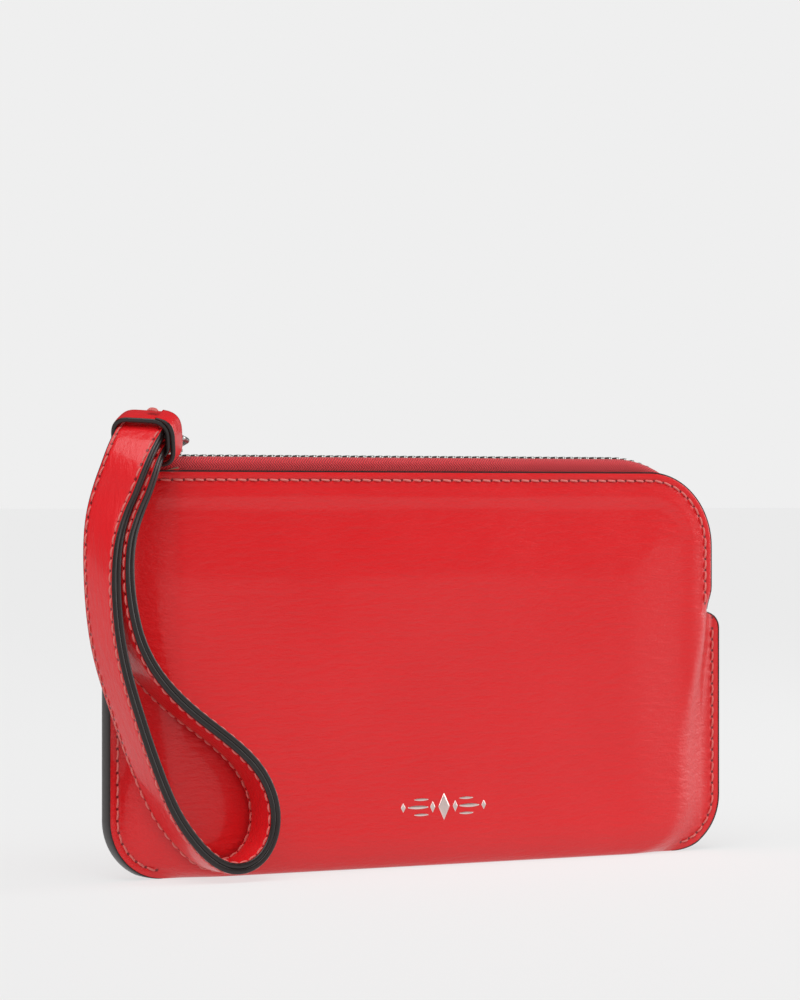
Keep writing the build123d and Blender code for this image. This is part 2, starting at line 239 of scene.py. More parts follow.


# %% [markdown]
# ### Red leather
# Corrected-grain calf, dyed through and finished with a coat of clear acrylic. The coat gives
# wide soft highlights. Under it a fine grain of about 0.5 mm shows, with long shallow creases
# where the skin was pulled, and the colour drifts a little across the hide. The dent that the
# thread pulls into the leather is a bump in the material, and the needle holes are painted shade:
# dark spots in the colour. The map called sewing holds how far a point is along a seam and how
# far from its line.

# %% Red leather
def leather_material(name, base, dark, light, crease_axis, pitch, inset):
    """Coated leather. crease_axis stretches the grain along X, Y or Z. pitch and inset are the
    stitches' length and their row's distance from the sewn edge."""
    material, shader = new_material(name, roughness=0.3)
    place = add_node(material, "ShaderNodeTexCoord")
    stretch = [1.0, 1.0, 1.0]
    stretch[crease_axis] = 0.22
    creases_at = add_node(material, "ShaderNodeMapping", links={"Vector": (place, "Object")},
                          Scale=stretch)
    grain = add_node(material, "ShaderNodeTexVoronoi", {"feature": "SMOOTH_F1"},
                     {"Vector": (place, "Object")}, Scale=1 / (0.55 * mm), Smoothness=0.6)
    creases = object_noise(material, creases_at, "Vector", 1.5, Detail=4.0, Roughness=0.55)
    drift = object_noise(material, place, "Object", 38, Detail=2.0)
    tone = colour_mix(material, (drift, "Fac"), dark, light)
    hue = add_node(material, "ShaderNodeMix", {"data_type": "RGBA"})
    hue.inputs[0].default_value = 0.5
    hue.inputs[6].default_value = colour(base)
    material.node_tree.links.new(tone.outputs[2], hue.inputs[7])
    sewing = sewing_marks(material, pitch, inset)
    # painted shade: the needle holes darken the colour to a deep red
    hole_shaded = add_node(material, "ShaderNodeMix", {"data_type": "RGBA"},
                     {"Factor": (sewing["holes"], "Value")})
    hole_shaded.inputs[7].default_value = colour("#4a060a")
    material.node_tree.links.new(hue.outputs[2], hole_shaded.inputs[6])
    shine = add_node(material, "ShaderNodeMapRange", None, {"Value": (creases, "Fac")},
                     To_Min=0.32, To_Max=0.46)
    dent = relief(material, (sewing["dent"], "Value"), 0.55, 0.35)
    fine = relief(material, (grain, "Distance"), 0.35, 0.12, dent)
    long_creases = relief(material, (creases, "Fac"), 0.6, 0.6, fine)
    feed(material, shader, Base_Color=(hole_shaded, 2), Roughness=(shine, "Result"),
         Normal=(long_creases, "Normal"))
    shader.inputs["Coat Weight"].default_value = 0.35
    shader.inputs["Specular IOR Level"].default_value = 0.35
    shader.inputs["Coat Roughness"].default_value = 0.12
    return material


def sewing_marks(material, pitch, inset):
    """Painted shade at the needle holes, 1 at their middles, and the dent along the thread, 0 at
    its deepest; the holes also deepen the dent. The sewing map's u is the way along the seam and
    its v the distance to the sewn edge, in metres."""
    seam = add_node(material, "ShaderNodeUVMap", {"uv_map": "sewing"})
    split = add_node(material, "ShaderNodeSeparateXYZ", None, {"Vector": (seam, "UV")})
    step_on = arithmetic(material, "PINGPONG", (split, "X"), pitch * mm / 2)
    off_line = arithmetic(material, "SUBTRACT", (split, "Y"), inset * mm)
    spot = add_node(material, "ShaderNodeCombineXYZ", None,
                    {"X": (step_on, "Value"), "Y": (off_line, "Value")})
    reach = add_node(material, "ShaderNodeVectorMath", {"operation": "LENGTH"},
                     {0: (spot, "Vector")})
    holes = add_node(material, "ShaderNodeMapRange", {"interpolation_type": "SMOOTHSTEP"},
                     {"Value": (reach, "Value")}, From_Min=0.28 * mm, From_Max=0.5 * mm,
                     To_Min=1.0, To_Max=0.0)
    aside = arithmetic(material, "ABSOLUTE", (off_line, "Value"))
    groove = add_node(material, "ShaderNodeMapRange", {"interpolation_type": "SMOOTHSTEP"},
                      {"Value": (aside, "Value")}, From_Min=0.0, From_Max=1.1 * mm)
    pit = arithmetic(material, "SUBTRACT", (groove, "Result"), (holes, "Result"))
    # painted shade of the holes, a little weaker than their mask
    hole_shade = arithmetic(material, "MULTIPLY", (holes, "Result"), 0.8)
    return {"holes": hole_shade, "dent": pit}


red_leather = leather_material("red_coated_calf_leather", "#d9141a", "#cd0f16", "#df1a20", 0,
                               stitch_pitch, stitch_inset)
# The strap's colours are a little lighter than the pouch's: painted light, for the light that the
# strap's faces catch.
strap_leather = leather_material("red_strap_leather", "#dc1a21", "#d2141b", "#e21f26", 2,
                                 strap_pitch, strap_inset)
print("leathers", red_leather.name, strap_leather.name)

# %% [markdown]
# ### Edge paint, thread, cloth and metal
# A cut edge is sealed with several coats of dark acrylic paint, which dries in a rounded bead
# with a satin shine. The thread is bonded polyester, two plies twisted, lighter than the leather.
# The zip tape is a herringbone twill with ribs near 0.5 mm apart. The teeth and the slider are
# zinc, plated and polished, with the fine scratches of tumbling.

# %% Edge paint and thread
def speckled(name, base, other, grit, roughness, bump, metallic=0.0):
    """A material whose colour and height vary with a noise of one grain size, in millimetres."""
    material, shader = new_material(name, roughness=roughness, metallic=metallic)
    place = add_node(material, "ShaderNodeTexCoord")
    noise = object_noise(material, place, "Object", grit, Detail=3.0)
    tone = colour_mix(material, (noise, "Fac"), base, other)
    shine = add_node(material, "ShaderNodeMapRange", None, {"Value": (noise, "Fac")},
                     To_Min=roughness - 0.06, To_Max=roughness + 0.08)
    height = relief(material, (noise, "Fac"), 0.3, bump)
    feed(material, shader, Base_Color=(tone, 2), Roughness=(shine, "Result"),
         Normal=(height, "Normal"))
    return material


edge_paint = speckled("dark_edge_paint", "#140c0b", "#1f1211", 1.2, 0.34, 0.08)
zip_metal = speckled("polished_zinc", "#b9bab6", "#9fa19e", 0.35, 0.30, 0.02, metallic=1.0)
wire_metal = speckled("polished_steel_wire", "#bdbebc", "#a6a7a5", 0.5, 0.26, 0.02, metallic=1.0)
fibre_board = speckled("fibre_board", "#b59f84", "#8f7a60", 0.4, 0.85, 0.1)


def thread_material(name, base, shade):
    """Twisted thread: stripes across the strand, which the ply map carries along it. The darker
    stripes are painted shade in the grooves between the plies, and the bump raises the plies.
    """
    material, shader = new_material(name, roughness=0.55)
    strand = add_node(material, "ShaderNodeUVMap", {"uv_map": "ply"})
    twist = add_node(material, "ShaderNodeTexWave", {"bands_direction": "DIAGONAL"},
                     {"Vector": (strand, "UV")}, Scale=1.6, Distortion=0.4)
    # painted shade: the twist's grooves take the darker colour
    tone = colour_mix(material, (twist, "Fac"), shade, base)
    height = relief(material, (twist, "Fac"), 0.5, 0.1)
    feed(material, shader, Base_Color=(tone, 2), Normal=(height, "Normal"))
    shader.inputs["Sheen Weight"].default_value = 0.15
    return material


seam_thread = thread_material("bonded_polyester_thread", "#ec8078", "#c44a48")


# %% Zip tape and lining cloth
def twill_material(name, base, shade, rib, turn_every, map_name):
    """Herringbone twill: diagonal ribs that turn back every few millimetres of the map's v. The
    valleys between the ribs take the darker colour, which is painted shade.
    """
    material, shader = new_material(name, roughness=0.72)
    cloth = add_node(material, "ShaderNodeUVMap", {"uv_map": map_name})
    split = add_node(material, "ShaderNodeSeparateXYZ", None, {"Vector": (cloth, "UV")})
    fold = arithmetic(material, "PINGPONG", (split, "Y"), turn_every * mm)
    slant = arithmetic(material, "ADD", (split, "X"), (fold, "Value"))
    ribs = arithmetic(material, "MULTIPLY", (slant, "Value"), 2 * math.pi / (rib * mm))
    wave = arithmetic(material, "SINE", (ribs, "Value"))
    lift = add_node(material, "ShaderNodeMapRange", None, {"Value": (wave, "Value")},
                    From_Min=-1.0, From_Max=1.0)
    # painted shade: the darker colour fills the valleys between the ribs
    tone = colour_mix(material, (lift, "Result"), shade, base)
    height = relief(material, (lift, "Result"), 0.8, 0.12)
    feed(material, shader, Base_Color=(tone, 2), Normal=(height, "Normal"))
    shader.inputs["Sheen Weight"].default_value = 0.25
    return material


zip_twill = twill_material("herringbone_zip_tape", "#e0202c", "#8a0c16", 0.8, 1.4, "cloth")
lining_cloth = twill_material("lining_twill", "#7c1a22", "#54101a", 0.6, 60.0, "cloth")


def foil_material():
    """Hot-stamped silver foil: a metal film with the leather's grain pressed through it."""
    material, shader = new_material("hot_stamped_silver_foil", roughness=0.28, metallic=1.0)
    place = add_node(material, "ShaderNodeTexCoord")
    grain = object_noise(material, place, "Object", 0.5, Detail=3.0)
    height = relief(material, (grain, "Fac"), 0.4, 0.06)
    tone = colour_mix(material, (grain, "Fac"), "#e3c9c4", "#f2dfd9")
    feed(material, shader, Base_Color=(tone, 2), Normal=(height, "Normal"))
    return material


silver_foil = foil_material()

# %% [markdown]
# ## The pouch
# One piece of leather is folded under the bottom and sewn up its sides, so it is one closed
# shell: an outer grid, an inner grid and strips that join their edges. The half depth at any
# place is a formula. It is flat beside the sewn edges, swells to the belly and narrows again at
# the zip. The stiffening board and the lining are the same surface at other depths.

# %% How deep the pouch is at each place
foot = 4.6                  # half of the flat strip that it stands on
fold_bend = 10.0            # height of the round fold above it, where the belly is full
left_turn = 12.0            # radii at the left end of the zip and at the step
step_turn = 4.5
step_hollow = 1.5
sewn_margin = 3.8
swell = 15.0                # from the sewn edge's flat to the full depth
zip_margin = 2.4            # the same two beside the zip's lower end
zip_swell = 7.5
zip_change = 40.0           # height over which they change
roll_height, roll_inset, roll_width = 0.35, 6.5, 2.6    # soft roll inside the zip's stitches
narrow_inset, narrow_width = 4.0, 26.0                  # where the belly narrows to the mouth
mouth_slack = 0.15


def left_edge(z):
    """Outline's left side: a quarter circle, a straight side and another quarter circle."""
    low = bottom_corner - np.clip(z, 0, bottom_corner)
    high = np.clip(z - (top - left_turn), 0, left_turn)
    bottom = bottom_corner - np.sqrt(np.maximum(bottom_corner ** 2 - low ** 2, 0))
    upper = left_turn - np.sqrt(np.maximum(left_turn ** 2 - high ** 2, 0))
    return -half + bottom + upper


def right_edge(z):
    """Outline's right side: the same below, a step in to the zip side, and the zip's corner."""
    low = bottom_corner - np.clip(z, 0, bottom_corner)
    bottom = bottom_corner - np.sqrt(np.maximum(bottom_corner ** 2 - low ** 2, 0))
    shoulder = np.clip(z - (step - step_turn), 0, step_turn)
    below = half - bottom - step_turn + np.sqrt(np.maximum(step_turn ** 2 - shoulder ** 2, 0))
    hollow = step_hollow - np.clip(z - step, 0, step_hollow)
    rise = np.clip(z - (top - zip_corner), 0, zip_corner)
    above = (zip_side + step_hollow - np.sqrt(np.maximum(step_hollow ** 2 - hollow ** 2, 0))
             - zip_corner + np.sqrt(np.maximum(zip_corner ** 2 - rise ** 2, 0)))
    return np.where(z <= step, below, above)


def seam_gap(x, z):
    """Distance from the left or lower right seam: from the straight line above the bottom
    corner, from the corner's arc beside it, and from the arc's end along the bottom."""
    aside = half - x
    corner = x - (half - bottom_corner)
    arc = bottom_corner - np.hypot(corner, z - bottom_corner)
    past_arc = np.hypot(0.75 * corner, z)
    return np.where(z >= bottom_corner, aside, np.where(corner > 0, arc, past_arc))


def level_gap(x, z):
    """How far a point lies from the right seam edge along X.

    half - x - R + sqrt(R^2 - (R - z)^2) beside the bottom corner of radius R."""
    below = bottom_corner - np.clip(z, 0, bottom_corner)
    return half - x - bottom_corner + np.sqrt(bottom_corner ** 2 - below ** 2)


def zip_gap(x, z):
    """Distance from the mouth's edge: the top, the zip's corner or the zip side."""
    turn_x, turn_z = zip_side - zip_corner, top - zip_corner
    corner = zip_corner - np.hypot(x - turn_x, z - turn_z)
    straight = np.minimum(top - z, zip_side - x)
    return np.where((x > turn_x) & (z > turn_z), corner, straight)


def half_depth(x, z):
    """Half of the pouch's depth: 2.2 mm at a seam, then an S-curve out to the belly's depth,
    which narrows towards the zip. On the right the seam ends at the step, and the mouth opens
    above it. Two shallow waves keep the panels from looking pressed."""
    gap = np.maximum(zip_gap(x, z), 0)
    rolled = roll_height * np.exp(-((gap - roll_inset) / roll_width) ** 2)
    narrowing = smoothstep((gap - narrow_inset) / narrow_width)
    full = mouth - mouth_slack + (belly - mouth) * narrowing + rolled
    waves = 0.16 * np.sin(0.071 * x + 1.3) * np.sin(0.083 * z + 0.7)
    waves = waves + 0.09 * np.sin(0.19 * x + 0.05 * z) - 0.16
    left = smoothstep((level_gap(-x, z) - sewn_margin) / swell)
    near_zip = smoothstep((z - step + zip_change) / zip_change)
    margin = sewn_margin + (zip_margin - sewn_margin) * near_zip
    spread = swell + (zip_swell - swell) * near_zip
    above = np.maximum(z - step, 0)
    right_gap = np.where(above > 0, np.hypot(half - x, above), level_gap(x, z))
    open_share = left * smoothstep((right_gap - margin) / spread)
    return seam_half + (full + waves * open_share - seam_half) * open_share


def outer_y(x, z):
    """Half depth with the fold under it: flat, then a quarter of an ellipse up to the wall."""
    deep = half_depth(x, z)
    flat = np.minimum(foot, 0.45 * deep)
    bend = fold_bend * (deep - flat) / (belly - foot)
    fall = 1 - np.clip(z / bend, 0, 1)
    edge = 1 - np.clip(np.maximum(zip_gap(x, z), 0) / 0.7, 0, 1)
    return flat + (deep - flat) * np.sqrt(np.maximum(1 - fall ** 2, 0)) - 0.22 * edge ** 2


# %% The grid's rows and columns
def arc_steps(start, size, count, from_flat):
    """Heights along a quarter circle, close together where its edge lies level."""
    angle = np.linspace(0, math.pi / 2, count)
    return start + size * ((1 - np.cos(angle)) if from_flat else np.sin(angle))


row_pitch = 1.35
row_heights = np.unique(np.round(np.concatenate([
    arc_steps(0, fold_bend, 15, True), arc_steps(0, bottom_corner, 19, True),
    np.arange(bottom_corner, step - step_turn, row_pitch),
    arc_steps(step - step_turn, step_turn, 7, False), arc_steps(step, step_hollow, 4, True),
    np.arange(step + step_hollow, top - zip_corner, row_pitch),
    arc_steps(top - zip_corner, zip_corner, 30, False),
]), 3))
row_heights = row_heights[np.concatenate([[True], np.diff(row_heights) > 0.02])]
column_count = 158
even = np.linspace(0, 1, column_count)
column_shares = 0.25 * even + 0.75 * (0.5 - 0.5 * np.cos(math.pi * even))
print("rows", len(row_heights), "columns", column_count)


def pouch_grid(heights):
    """x, y and z of one panel from its bottom up, y at its half depth."""
    z = np.repeat(heights[:, None], column_count, axis=1)
    x = left_edge(z) + (right_edge(z) - left_edge(z)) * column_shares[None, :]
    return x, outer_y(x, z), z


def grid_normals(points):
    """Unit normals of a grid from the steps between its neighbours: (row step) x (column step)."""
    normals = np.cross(np.gradient(points, axis=0), np.gradient(points, axis=1))
    return normals / np.maximum(np.linalg.norm(normals, axis=-1, keepdims=True), 1e-9)


def shell_faces(rows, columns):
    """Faces of a closed shell: an outer grid, an inner grid behind it and four rim strips."""
    count = rows * columns
    outer = grid_faces(rows, columns)
    index = np.arange(count).reshape(rows, columns)
    rim = np.concatenate([index[0, :-1], index[:-1, -1], index[-1, :0:-1], index[:0:-1, 0]])
    after = np.roll(rim, -1)
    strip = np.stack([rim, after, after + count, rim + count], axis=-1)
    return np.concatenate([outer, outer[:, ::-1] + count, strip])


def sewing_map(x, z):
    """How far along the nearest seam a point lies, and how far in from its edge."""
    turn = np.arctan2(np.maximum(x - (zip_side - zip_corner), 0),
                      np.maximum(z - (top - zip_corner), 1e-6))
    arc = zip_corner - stitch_inset
    along_zip = np.minimum(x, zip_side - zip_corner) + half + turn * arc
    along_zip = along_zip + np.maximum(top - zip_corner - z, 0) * (x > zip_side - zip_corner)
    corner = np.arctan2(np.maximum(bottom_corner - z, 0),
                        np.maximum(np.abs(x) - (half - bottom_corner), 1e-6))
    along_side = np.maximum(z, bottom_corner) - corner * (bottom_corner - stitch_inset)
    side = np.minimum(seam_gap(-x, z), np.where(z < step, seam_gap(x, z), 2 * half))
    zip_side_gap = np.where(z < step, np.maximum(top - z, 0), np.maximum(zip_gap(x, z), 0))
    nearest = zip_side_gap < side
    return np.stack([np.where(nearest, along_zip, along_side),
                     np.where(nearest, zip_side_gap, side)], axis=-1) * mm


def layer_shell(name, x, y, z, from_inset, to_inset, material):
    """A closed shell between two insets from the pouch's outer surface."""
    surface = np.stack([x, y, z], axis=-1)
    inward = grid_normals(surface)
    inward = np.where(inward[..., 1:2] * np.sign(y)[..., None] > 0.0, -inward, inward)
    underfoot = (np.abs(y) < foot) & (z < 0.3)
    inward = np.where(underfoot[..., None], [0.0, 0.0, 1.0], inward)
    points = [surface + inward * inset for inset in (from_inset, to_inset)]
    maps = {"sewing": np.tile(sewing_map(x, z).reshape(-1, 2), (2, 1)),
            "cloth": np.tile(np.stack([x, z], axis=-1).reshape(-1, 2) * mm, (2, 1))}
    return make_piece(name, np.stack(points), shell_faces(*x.shape), [material], maps=maps)


def place(piece, body, slot_name, *nodes):
    """The piece moves with a body and stands for CAD nodes, which are hidden. slot_name is not
    used.
    """
    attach(piece, body)
    if nodes:
        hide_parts(*nodes)
    return piece


# %% Leather, boards and lining
x, y, z = pouch_grid(row_heights)
foot_shares = np.array([0.0, 0.5])
foot_rows = [np.repeat(part[:1], len(foot_shares), axis=0) for part in (x, y, z)]
foot_rows[1] = foot_rows[1] * foot_shares[:, None]
wall = [np.concatenate([low, high]) for low, high in zip(foot_rows, (x, y, z))]
folded = [np.concatenate([part[:0:-1] * sign, part]) for part, sign in zip(wall, (1, -1, 1))]
pouch_leather = layer_shell("pouch_leather", *folded, 0.0, leather, red_leather)
place(pouch_leather, "pouch", "leather", "leather_shell")

inner = row_heights > fold_bend + 1.2
for side, face in ((-1, "front"), (1, "back")):
    shape = [part[inner] for part in (x, y * side, z)]
    place(layer_shell(face + "_board", *shape, leather + 0.03, leather + board, fibre_board),
          "pouch", "board", face + "_stiffener")
    place(layer_shell(face + "_lining_cloth", *shape, leather + board + 0.03, seam_half - 0.02,
                      lining_cloth), "pouch", "lining", face + "_lining")
print("pouch leather faces", len(pouch_leather.data.polygons))

# %% [markdown]
# ## Beads, wires and bands
# Edge paint, wire, tape and strap are all a profile carried along a path. At each place on the
# path stand two directions, sideways and up, and the profile's points are measured in them.

# %% A profile along a path
def sweep(path, sideways, up, profile, closed=False):
    """Points path + a * sideways + b * up for each profile point (a, b), which may change along
    the path, and faces between neighbouring sections. Open sweeps end in a fan to a pole."""
    profile = np.asarray(profile, dtype=float)
    if profile.ndim == 2:
        profile = np.repeat(profile[None], len(path), axis=0)
    points = (path[:, None] + profile[..., :1] * sideways[:, None]
              + profile[..., 1:] * up[:, None])
    rows, columns = points.shape[:2]
    points = points.reshape(-1, 3)
    if closed:
        return points, grid_faces(rows, columns, True, True).tolist()
    poles = [points[:columns].mean(axis=0), points[-columns:].mean(axis=0)]
    return np.concatenate([points, poles]), tube_faces(rows, columns)


def directions(path, closed=False):
    """Unit tangents of a path, from each place's neighbours."""
    if closed:
        steps = np.roll(path, -1, axis=0) - np.roll(path, 1, axis=0)
    else:
        steps = np.gradient(path, axis=0)
    return steps / np.linalg.norm(steps, axis=1, keepdims=True)


def unit(vectors):
    """The same directions with a length of 1."""
    return vectors / np.linalg.norm(vectors, axis=-1, keepdims=True)


def lengths_along(path):
    """How far along a path each of its places lies."""
    return np.concatenate([[0], np.cumsum(np.linalg.norm(np.diff(path, axis=0), axis=1))])


def repeated(faces, points_each, count):
    """The faces of one small part, given again for each copy of it."""
    return [[corner + points_each * index for corner in face]
            for index in range(count) for face in faces]


def merge(parts):
    """Several (points, faces) as one."""
    points, faces, count = [], [], 0
    for part_points, part_faces in parts:
        points.append(part_points)
        faces += [[corner + count for corner in face] for face in part_faces]
        count += len(part_points)
    return np.concatenate(points), faces


def ellipse(width, height, count):
    """Points round an ellipse of two half sizes: (width cos t, height sin t)."""
    angle = np.linspace(0, 2 * math.pi, count, endpoint=False)
    return np.stack([width * np.cos(angle), height * np.sin(angle)], axis=-1)


# %% [markdown]
# ### Painted edges
# Along the left and lower right seams the paint covers all six layers in one bead. Round the
# mouth each panel has its own narrow bead.

# %% Where the edges run
def side_path(side, high):
    """Places on a side's outline from the bottom corner up, with the way out of the panel."""
    angle = np.linspace(0, math.pi / 2, 26)[:-1]
    corner = np.stack([half - bottom_corner + bottom_corner * np.sin(angle),
                       bottom_corner - bottom_corner * np.cos(angle)], axis=-1)
    straight_z = np.arange(bottom_corner, high, 1.0)
    straight_line = np.stack([np.full_like(straight_z, half), straight_z], axis=-1)
    outline = np.concatenate([corner, straight_line])
    return outline * [side, 1]


def arc_path(centre_x, centre_z, radius, start, end, count):
    """Places on an arc, its angle counted in degrees from +X towards +Z."""
    angle = np.radians(np.linspace(start, end, count))
    return np.stack([centre_x + radius * np.cos(angle), centre_z + radius * np.sin(angle)], axis=-1)


def edge_bead(outline, middle, half_width, bulge, sink):
    """A bead of paint on an edge: half an ellipse out of the leather and half into it."""
    step_along = unit(np.gradient(outline, axis=0))
    out = np.stack([step_along[:, 1], -step_along[:, 0]], axis=-1)
    path = np.stack([outline[:, 0], middle, outline[:, 1]], axis=-1)
    out = np.stack([out[:, 0], np.zeros(len(out)), out[:, 1]], axis=-1)
    sideways = np.tile([0.0, 1.0, 0.0], (len(path), 1))
    ring = ellipse(1, 1, 18)
    heights = np.where(ring[:, 1] > 0, ring[:, 1] * bulge[:, None], ring[:, 1] * sink)
    profile = np.stack([ring[:, 0] * half_width[:, None], heights], axis=-1)
    return sweep(path, sideways, out, profile)


# %% Painted side seams and mouth
bulge_size = 0.38           # how far the paint stands out of the cut edge
for side, name, end in ((-1, "left", top - left_turn), (1, "right", step - step_turn)):
    outline = side_path(side, end)
    if side < 0:
        corner = arc_path(-half + left_turn, top - left_turn, left_turn, 180, 118, 20)
    else:
        corner = arc_path(half - step_turn, step - step_turn, step_turn, 0, 90, 14)
    outline = np.concatenate([outline, corner])
    if side < 0:
        outline = outline[::-1]
    wide = outer_y(outline[:, 0] * 0.9999, outline[:, 1]) + 0.25
    bulge = bulge_size * np.clip(outline[:, 1] / 1.5, 0.02, 1)
    bead = edge_bead(outline, np.zeros(len(outline)), wide, bulge, 0.5)
    place(make_piece(name + "_seam_edge_paint", *bead, [edge_paint]), "pouch", "leather")

mouth_line = np.concatenate([
    arc_path(-half + left_turn, top - left_turn, left_turn, 124, 90, 14),
    np.stack([np.linspace(-half + left_turn + 1, zip_side - zip_corner - 1, 150),
              np.full(150, top)], axis=-1),
    arc_path(zip_side - zip_corner, top - zip_corner, zip_corner, 90, 0, 34),
    np.stack([np.full(14, zip_side), np.linspace(top - zip_corner - 1, step + 1.2, 14)], axis=-1),
])[::-1]
for side, name in ((-1, "front"), (1, "back")):
    deep = outer_y(mouth_line[:, 0], mouth_line[:, 1]) + 0.2
    wide = np.minimum(seam_half / 2 + 0.04, deep / 2)
    bead = edge_bead(mouth_line, side * (deep - wide), wide, np.full(len(deep), 0.3), 0.4)
    place(make_piece(name + "_mouth_edge_paint", *bead, [edge_paint]), "pouch", "leather")

# %% [markdown]
# ### Stitches
# A lockstitch shows as one short arched length of thread from needle hole to needle hole, at a
# slight slant. Each stitch is a small capsule that bows out of the leather, and all the
# stitches of a row are worked out at once.

# %% A row of stitches
def stitches(name, body, slot_name, middles, along, outward, nodes=(), length=stitch_pitch,
             thick=0.62):
    """Capsules with centre c + along * s * length/2 + outward * arch * (1 - s^2), slanted by a
    share of s, and radius r * sqrt(1 - s^6), for s from -1 to 1."""
    share = np.linspace(-1, 1, 8)
    turn = np.linspace(0, 2 * math.pi, 6, endpoint=False)
    across = np.cross(along, outward)
    reach = share * (length - 0.55) / 2
    arch = 0.34 * (1 - share ** 2) - 0.12
    line = (middles[:, None] + along[:, None] * reach[None, :, None]
            + outward[:, None] * arch[None, :, None]
            + across[:, None] * (0.13 * share)[None, :, None])
    radius = thick / 2 * np.sqrt(np.clip(1 - 0.85 * share ** 6, 0.05, 1))
    ring = (np.cos(turn)[None, None, :, None] * across[:, None, None]
            + np.sin(turn)[None, None, :, None] * outward[:, None, None])
    points = line[:, :, None] + radius[None, :, None, None] * ring
    poles = line[:, [0, -1]] + along[:, None] * (np.array([-0.12, 0.12])[None, :, None])
    each = len(share) * len(turn) + 2
    points = np.concatenate([points.reshape(len(middles), -1, 3), poles], axis=1)
    faces = repeated(tube_faces(len(share), len(turn)), each, len(middles))
    ply = np.concatenate([np.stack(np.meshgrid(share * 2.6, np.arange(6) / 6, indexing="ij"),
                                   axis=-1).reshape(-1, 2), [[-3, 0], [3, 0]]])
    piece = make_piece(name, points, faces, [seam_thread],
                       maps={"ply": np.tile(ply, (len(middles), 1))})
    return place(piece, body, slot_name, *nodes)


def stitch_line(pieces_of_line, pitch):
    """Middles and directions of stitches along a line that is given densely."""
    line = np.concatenate(pieces_of_line)
    gone = lengths_along(line)
    count = int(gone[-1] / pitch)
    at = (np.arange(count) + 0.5) * pitch
    middles = np.stack([np.interp(at, gone, line[:, axis]) for axis in range(2)], axis=-1)
    ahead = np.stack([np.interp(at + 0.3, gone, line[:, axis]) for axis in range(2)], axis=-1)
    return middles, unit(ahead - middles)


def panel_stitches(name, line, sides, nodes):
    """Stitches on the pouch's faces: the middles are carried onto the surface, with its slope."""
    middles, along = stitch_line(line, stitch_pitch)
    probe = 0.4
    rows = []
    for side in sides:
        deep = outer_y(middles[:, 0], middles[:, 1])
        ahead = outer_y(*(middles + along * probe).T)
        spots = np.stack([middles[:, 0], side * deep, middles[:, 1]], axis=-1)
        run = unit(np.stack([along[:, 0] * probe, side * (ahead - deep), along[:, 1] * probe],
                            axis=-1))
        beside = middles + np.stack([-along[:, 1], along[:, 0]], axis=-1) * probe
        level = np.stack([-along[:, 1] * probe, side * (outer_y(*beside.T) - deep),
                          along[:, 0] * probe], axis=-1)
        out = unit(np.cross(run, level))
        out = out * np.sign(out[:, 1:2] * side)
        rows.append((spots, run, out))
    spots, run, out = (np.concatenate(parts) for parts in zip(*rows))
    return stitches(name, "pouch", "thread", spots, run, out, nodes)


# %% Stitched seams of the pouch
first_turn = math.degrees((bottom_corner + stitch_pitch) / (bottom_corner - stitch_inset))


def inset_line(side, high):
    """A side seam's stitch line: the bottom corner's arc and the straight side, 2.3 mm in."""
    centre = half - bottom_corner
    radius = bottom_corner - stitch_inset
    arc = arc_path(centre, bottom_corner, radius, -first_turn, 0, 40)
    straight_z = np.linspace(bottom_corner + 0.2, high, 60)
    straight_line = np.stack([np.full(60, half - stitch_inset), straight_z], axis=-1)
    return [line * [side, 1] for line in (arc, straight_line)]


for side, name, high in ((-1, "left", top - left_turn + 2), (1, "right", step - 3.4)):
    panel_stitches(name + "_seam_stitches", inset_line(side, high), (-1, 1),
                   [name + "_seam_thread"])
zip_radius = zip_corner - stitch_inset
zip_row = [
    np.stack([np.linspace(-half + 4 * stitch_pitch, zip_side - zip_corner, 150),
              np.full(150, top - stitch_inset)], axis=-1),
    arc_path(zip_side - zip_corner, top - zip_corner, zip_radius, 89, 0, 50),
    np.stack([np.full(20, zip_side - stitch_inset),
              np.linspace(top - zip_corner - 0.3, step + 2.2, 20)], axis=-1),
]
for side, name in ((-1, "front"), (1, "back")):
    row = panel_stitches(name + "_zip_stitches", zip_row, (side,), ["zip_thread_" + name])
    print(row.name, len(row.data.polygons), "faces")

# %% [markdown]
# ## The zip
# Each tape is a narrow strip of twill, sewn inside its panel and bent over at the top so that
# its edge, with the teeth clamped on it, lies level in the mouth. The same centre line serves
# the tape and the teeth: along the top, round the corner and down the side. The stops and the
# slider take their places from the frame.

# %% The zip's centre line
tape_turn = 32.0
tape_thick = 0.5
tape_leg = 14.0
tape_bend = 2.0
tooth_edge = 2.4
turn_x, turn_z = tape_side - tape_turn, tape_top - tape_turn
tape_from = -half + left_turn
tape_end = step + step_turn


def zip_places(travel, start_x, below):
    """Places and turns on the zip's line, a distance below the tape's top, for a travel counted
    from start_x: straight, a quarter circle, straight down."""
    radius = tape_turn - below
    straight = turn_x - start_x
    angle = np.clip((travel - straight) / radius, 0, math.pi / 2)
    beyond = np.maximum(travel - straight - radius * math.pi / 2, 0)
    x = start_x + np.minimum(travel, straight) + radius * np.sin(angle)
    z = turn_z + radius * np.cos(angle) - beyond
    return np.stack([x, z], axis=-1), angle


def zip_length(start_x, below, end_z):
    """Length of the zip's line from start_x round to a height on the side."""
    return turn_x - start_x + (tape_turn - below) * math.pi / 2 + turn_z - end_z


def round_bend(centre_a, centre_b, radius, start, end, count):
    """Points of a small arc in a profile."""
    angle = np.radians(np.linspace(start, end, count))
    return np.stack([centre_a + radius * np.cos(angle), centre_b + radius * np.sin(angle)], axis=-1)


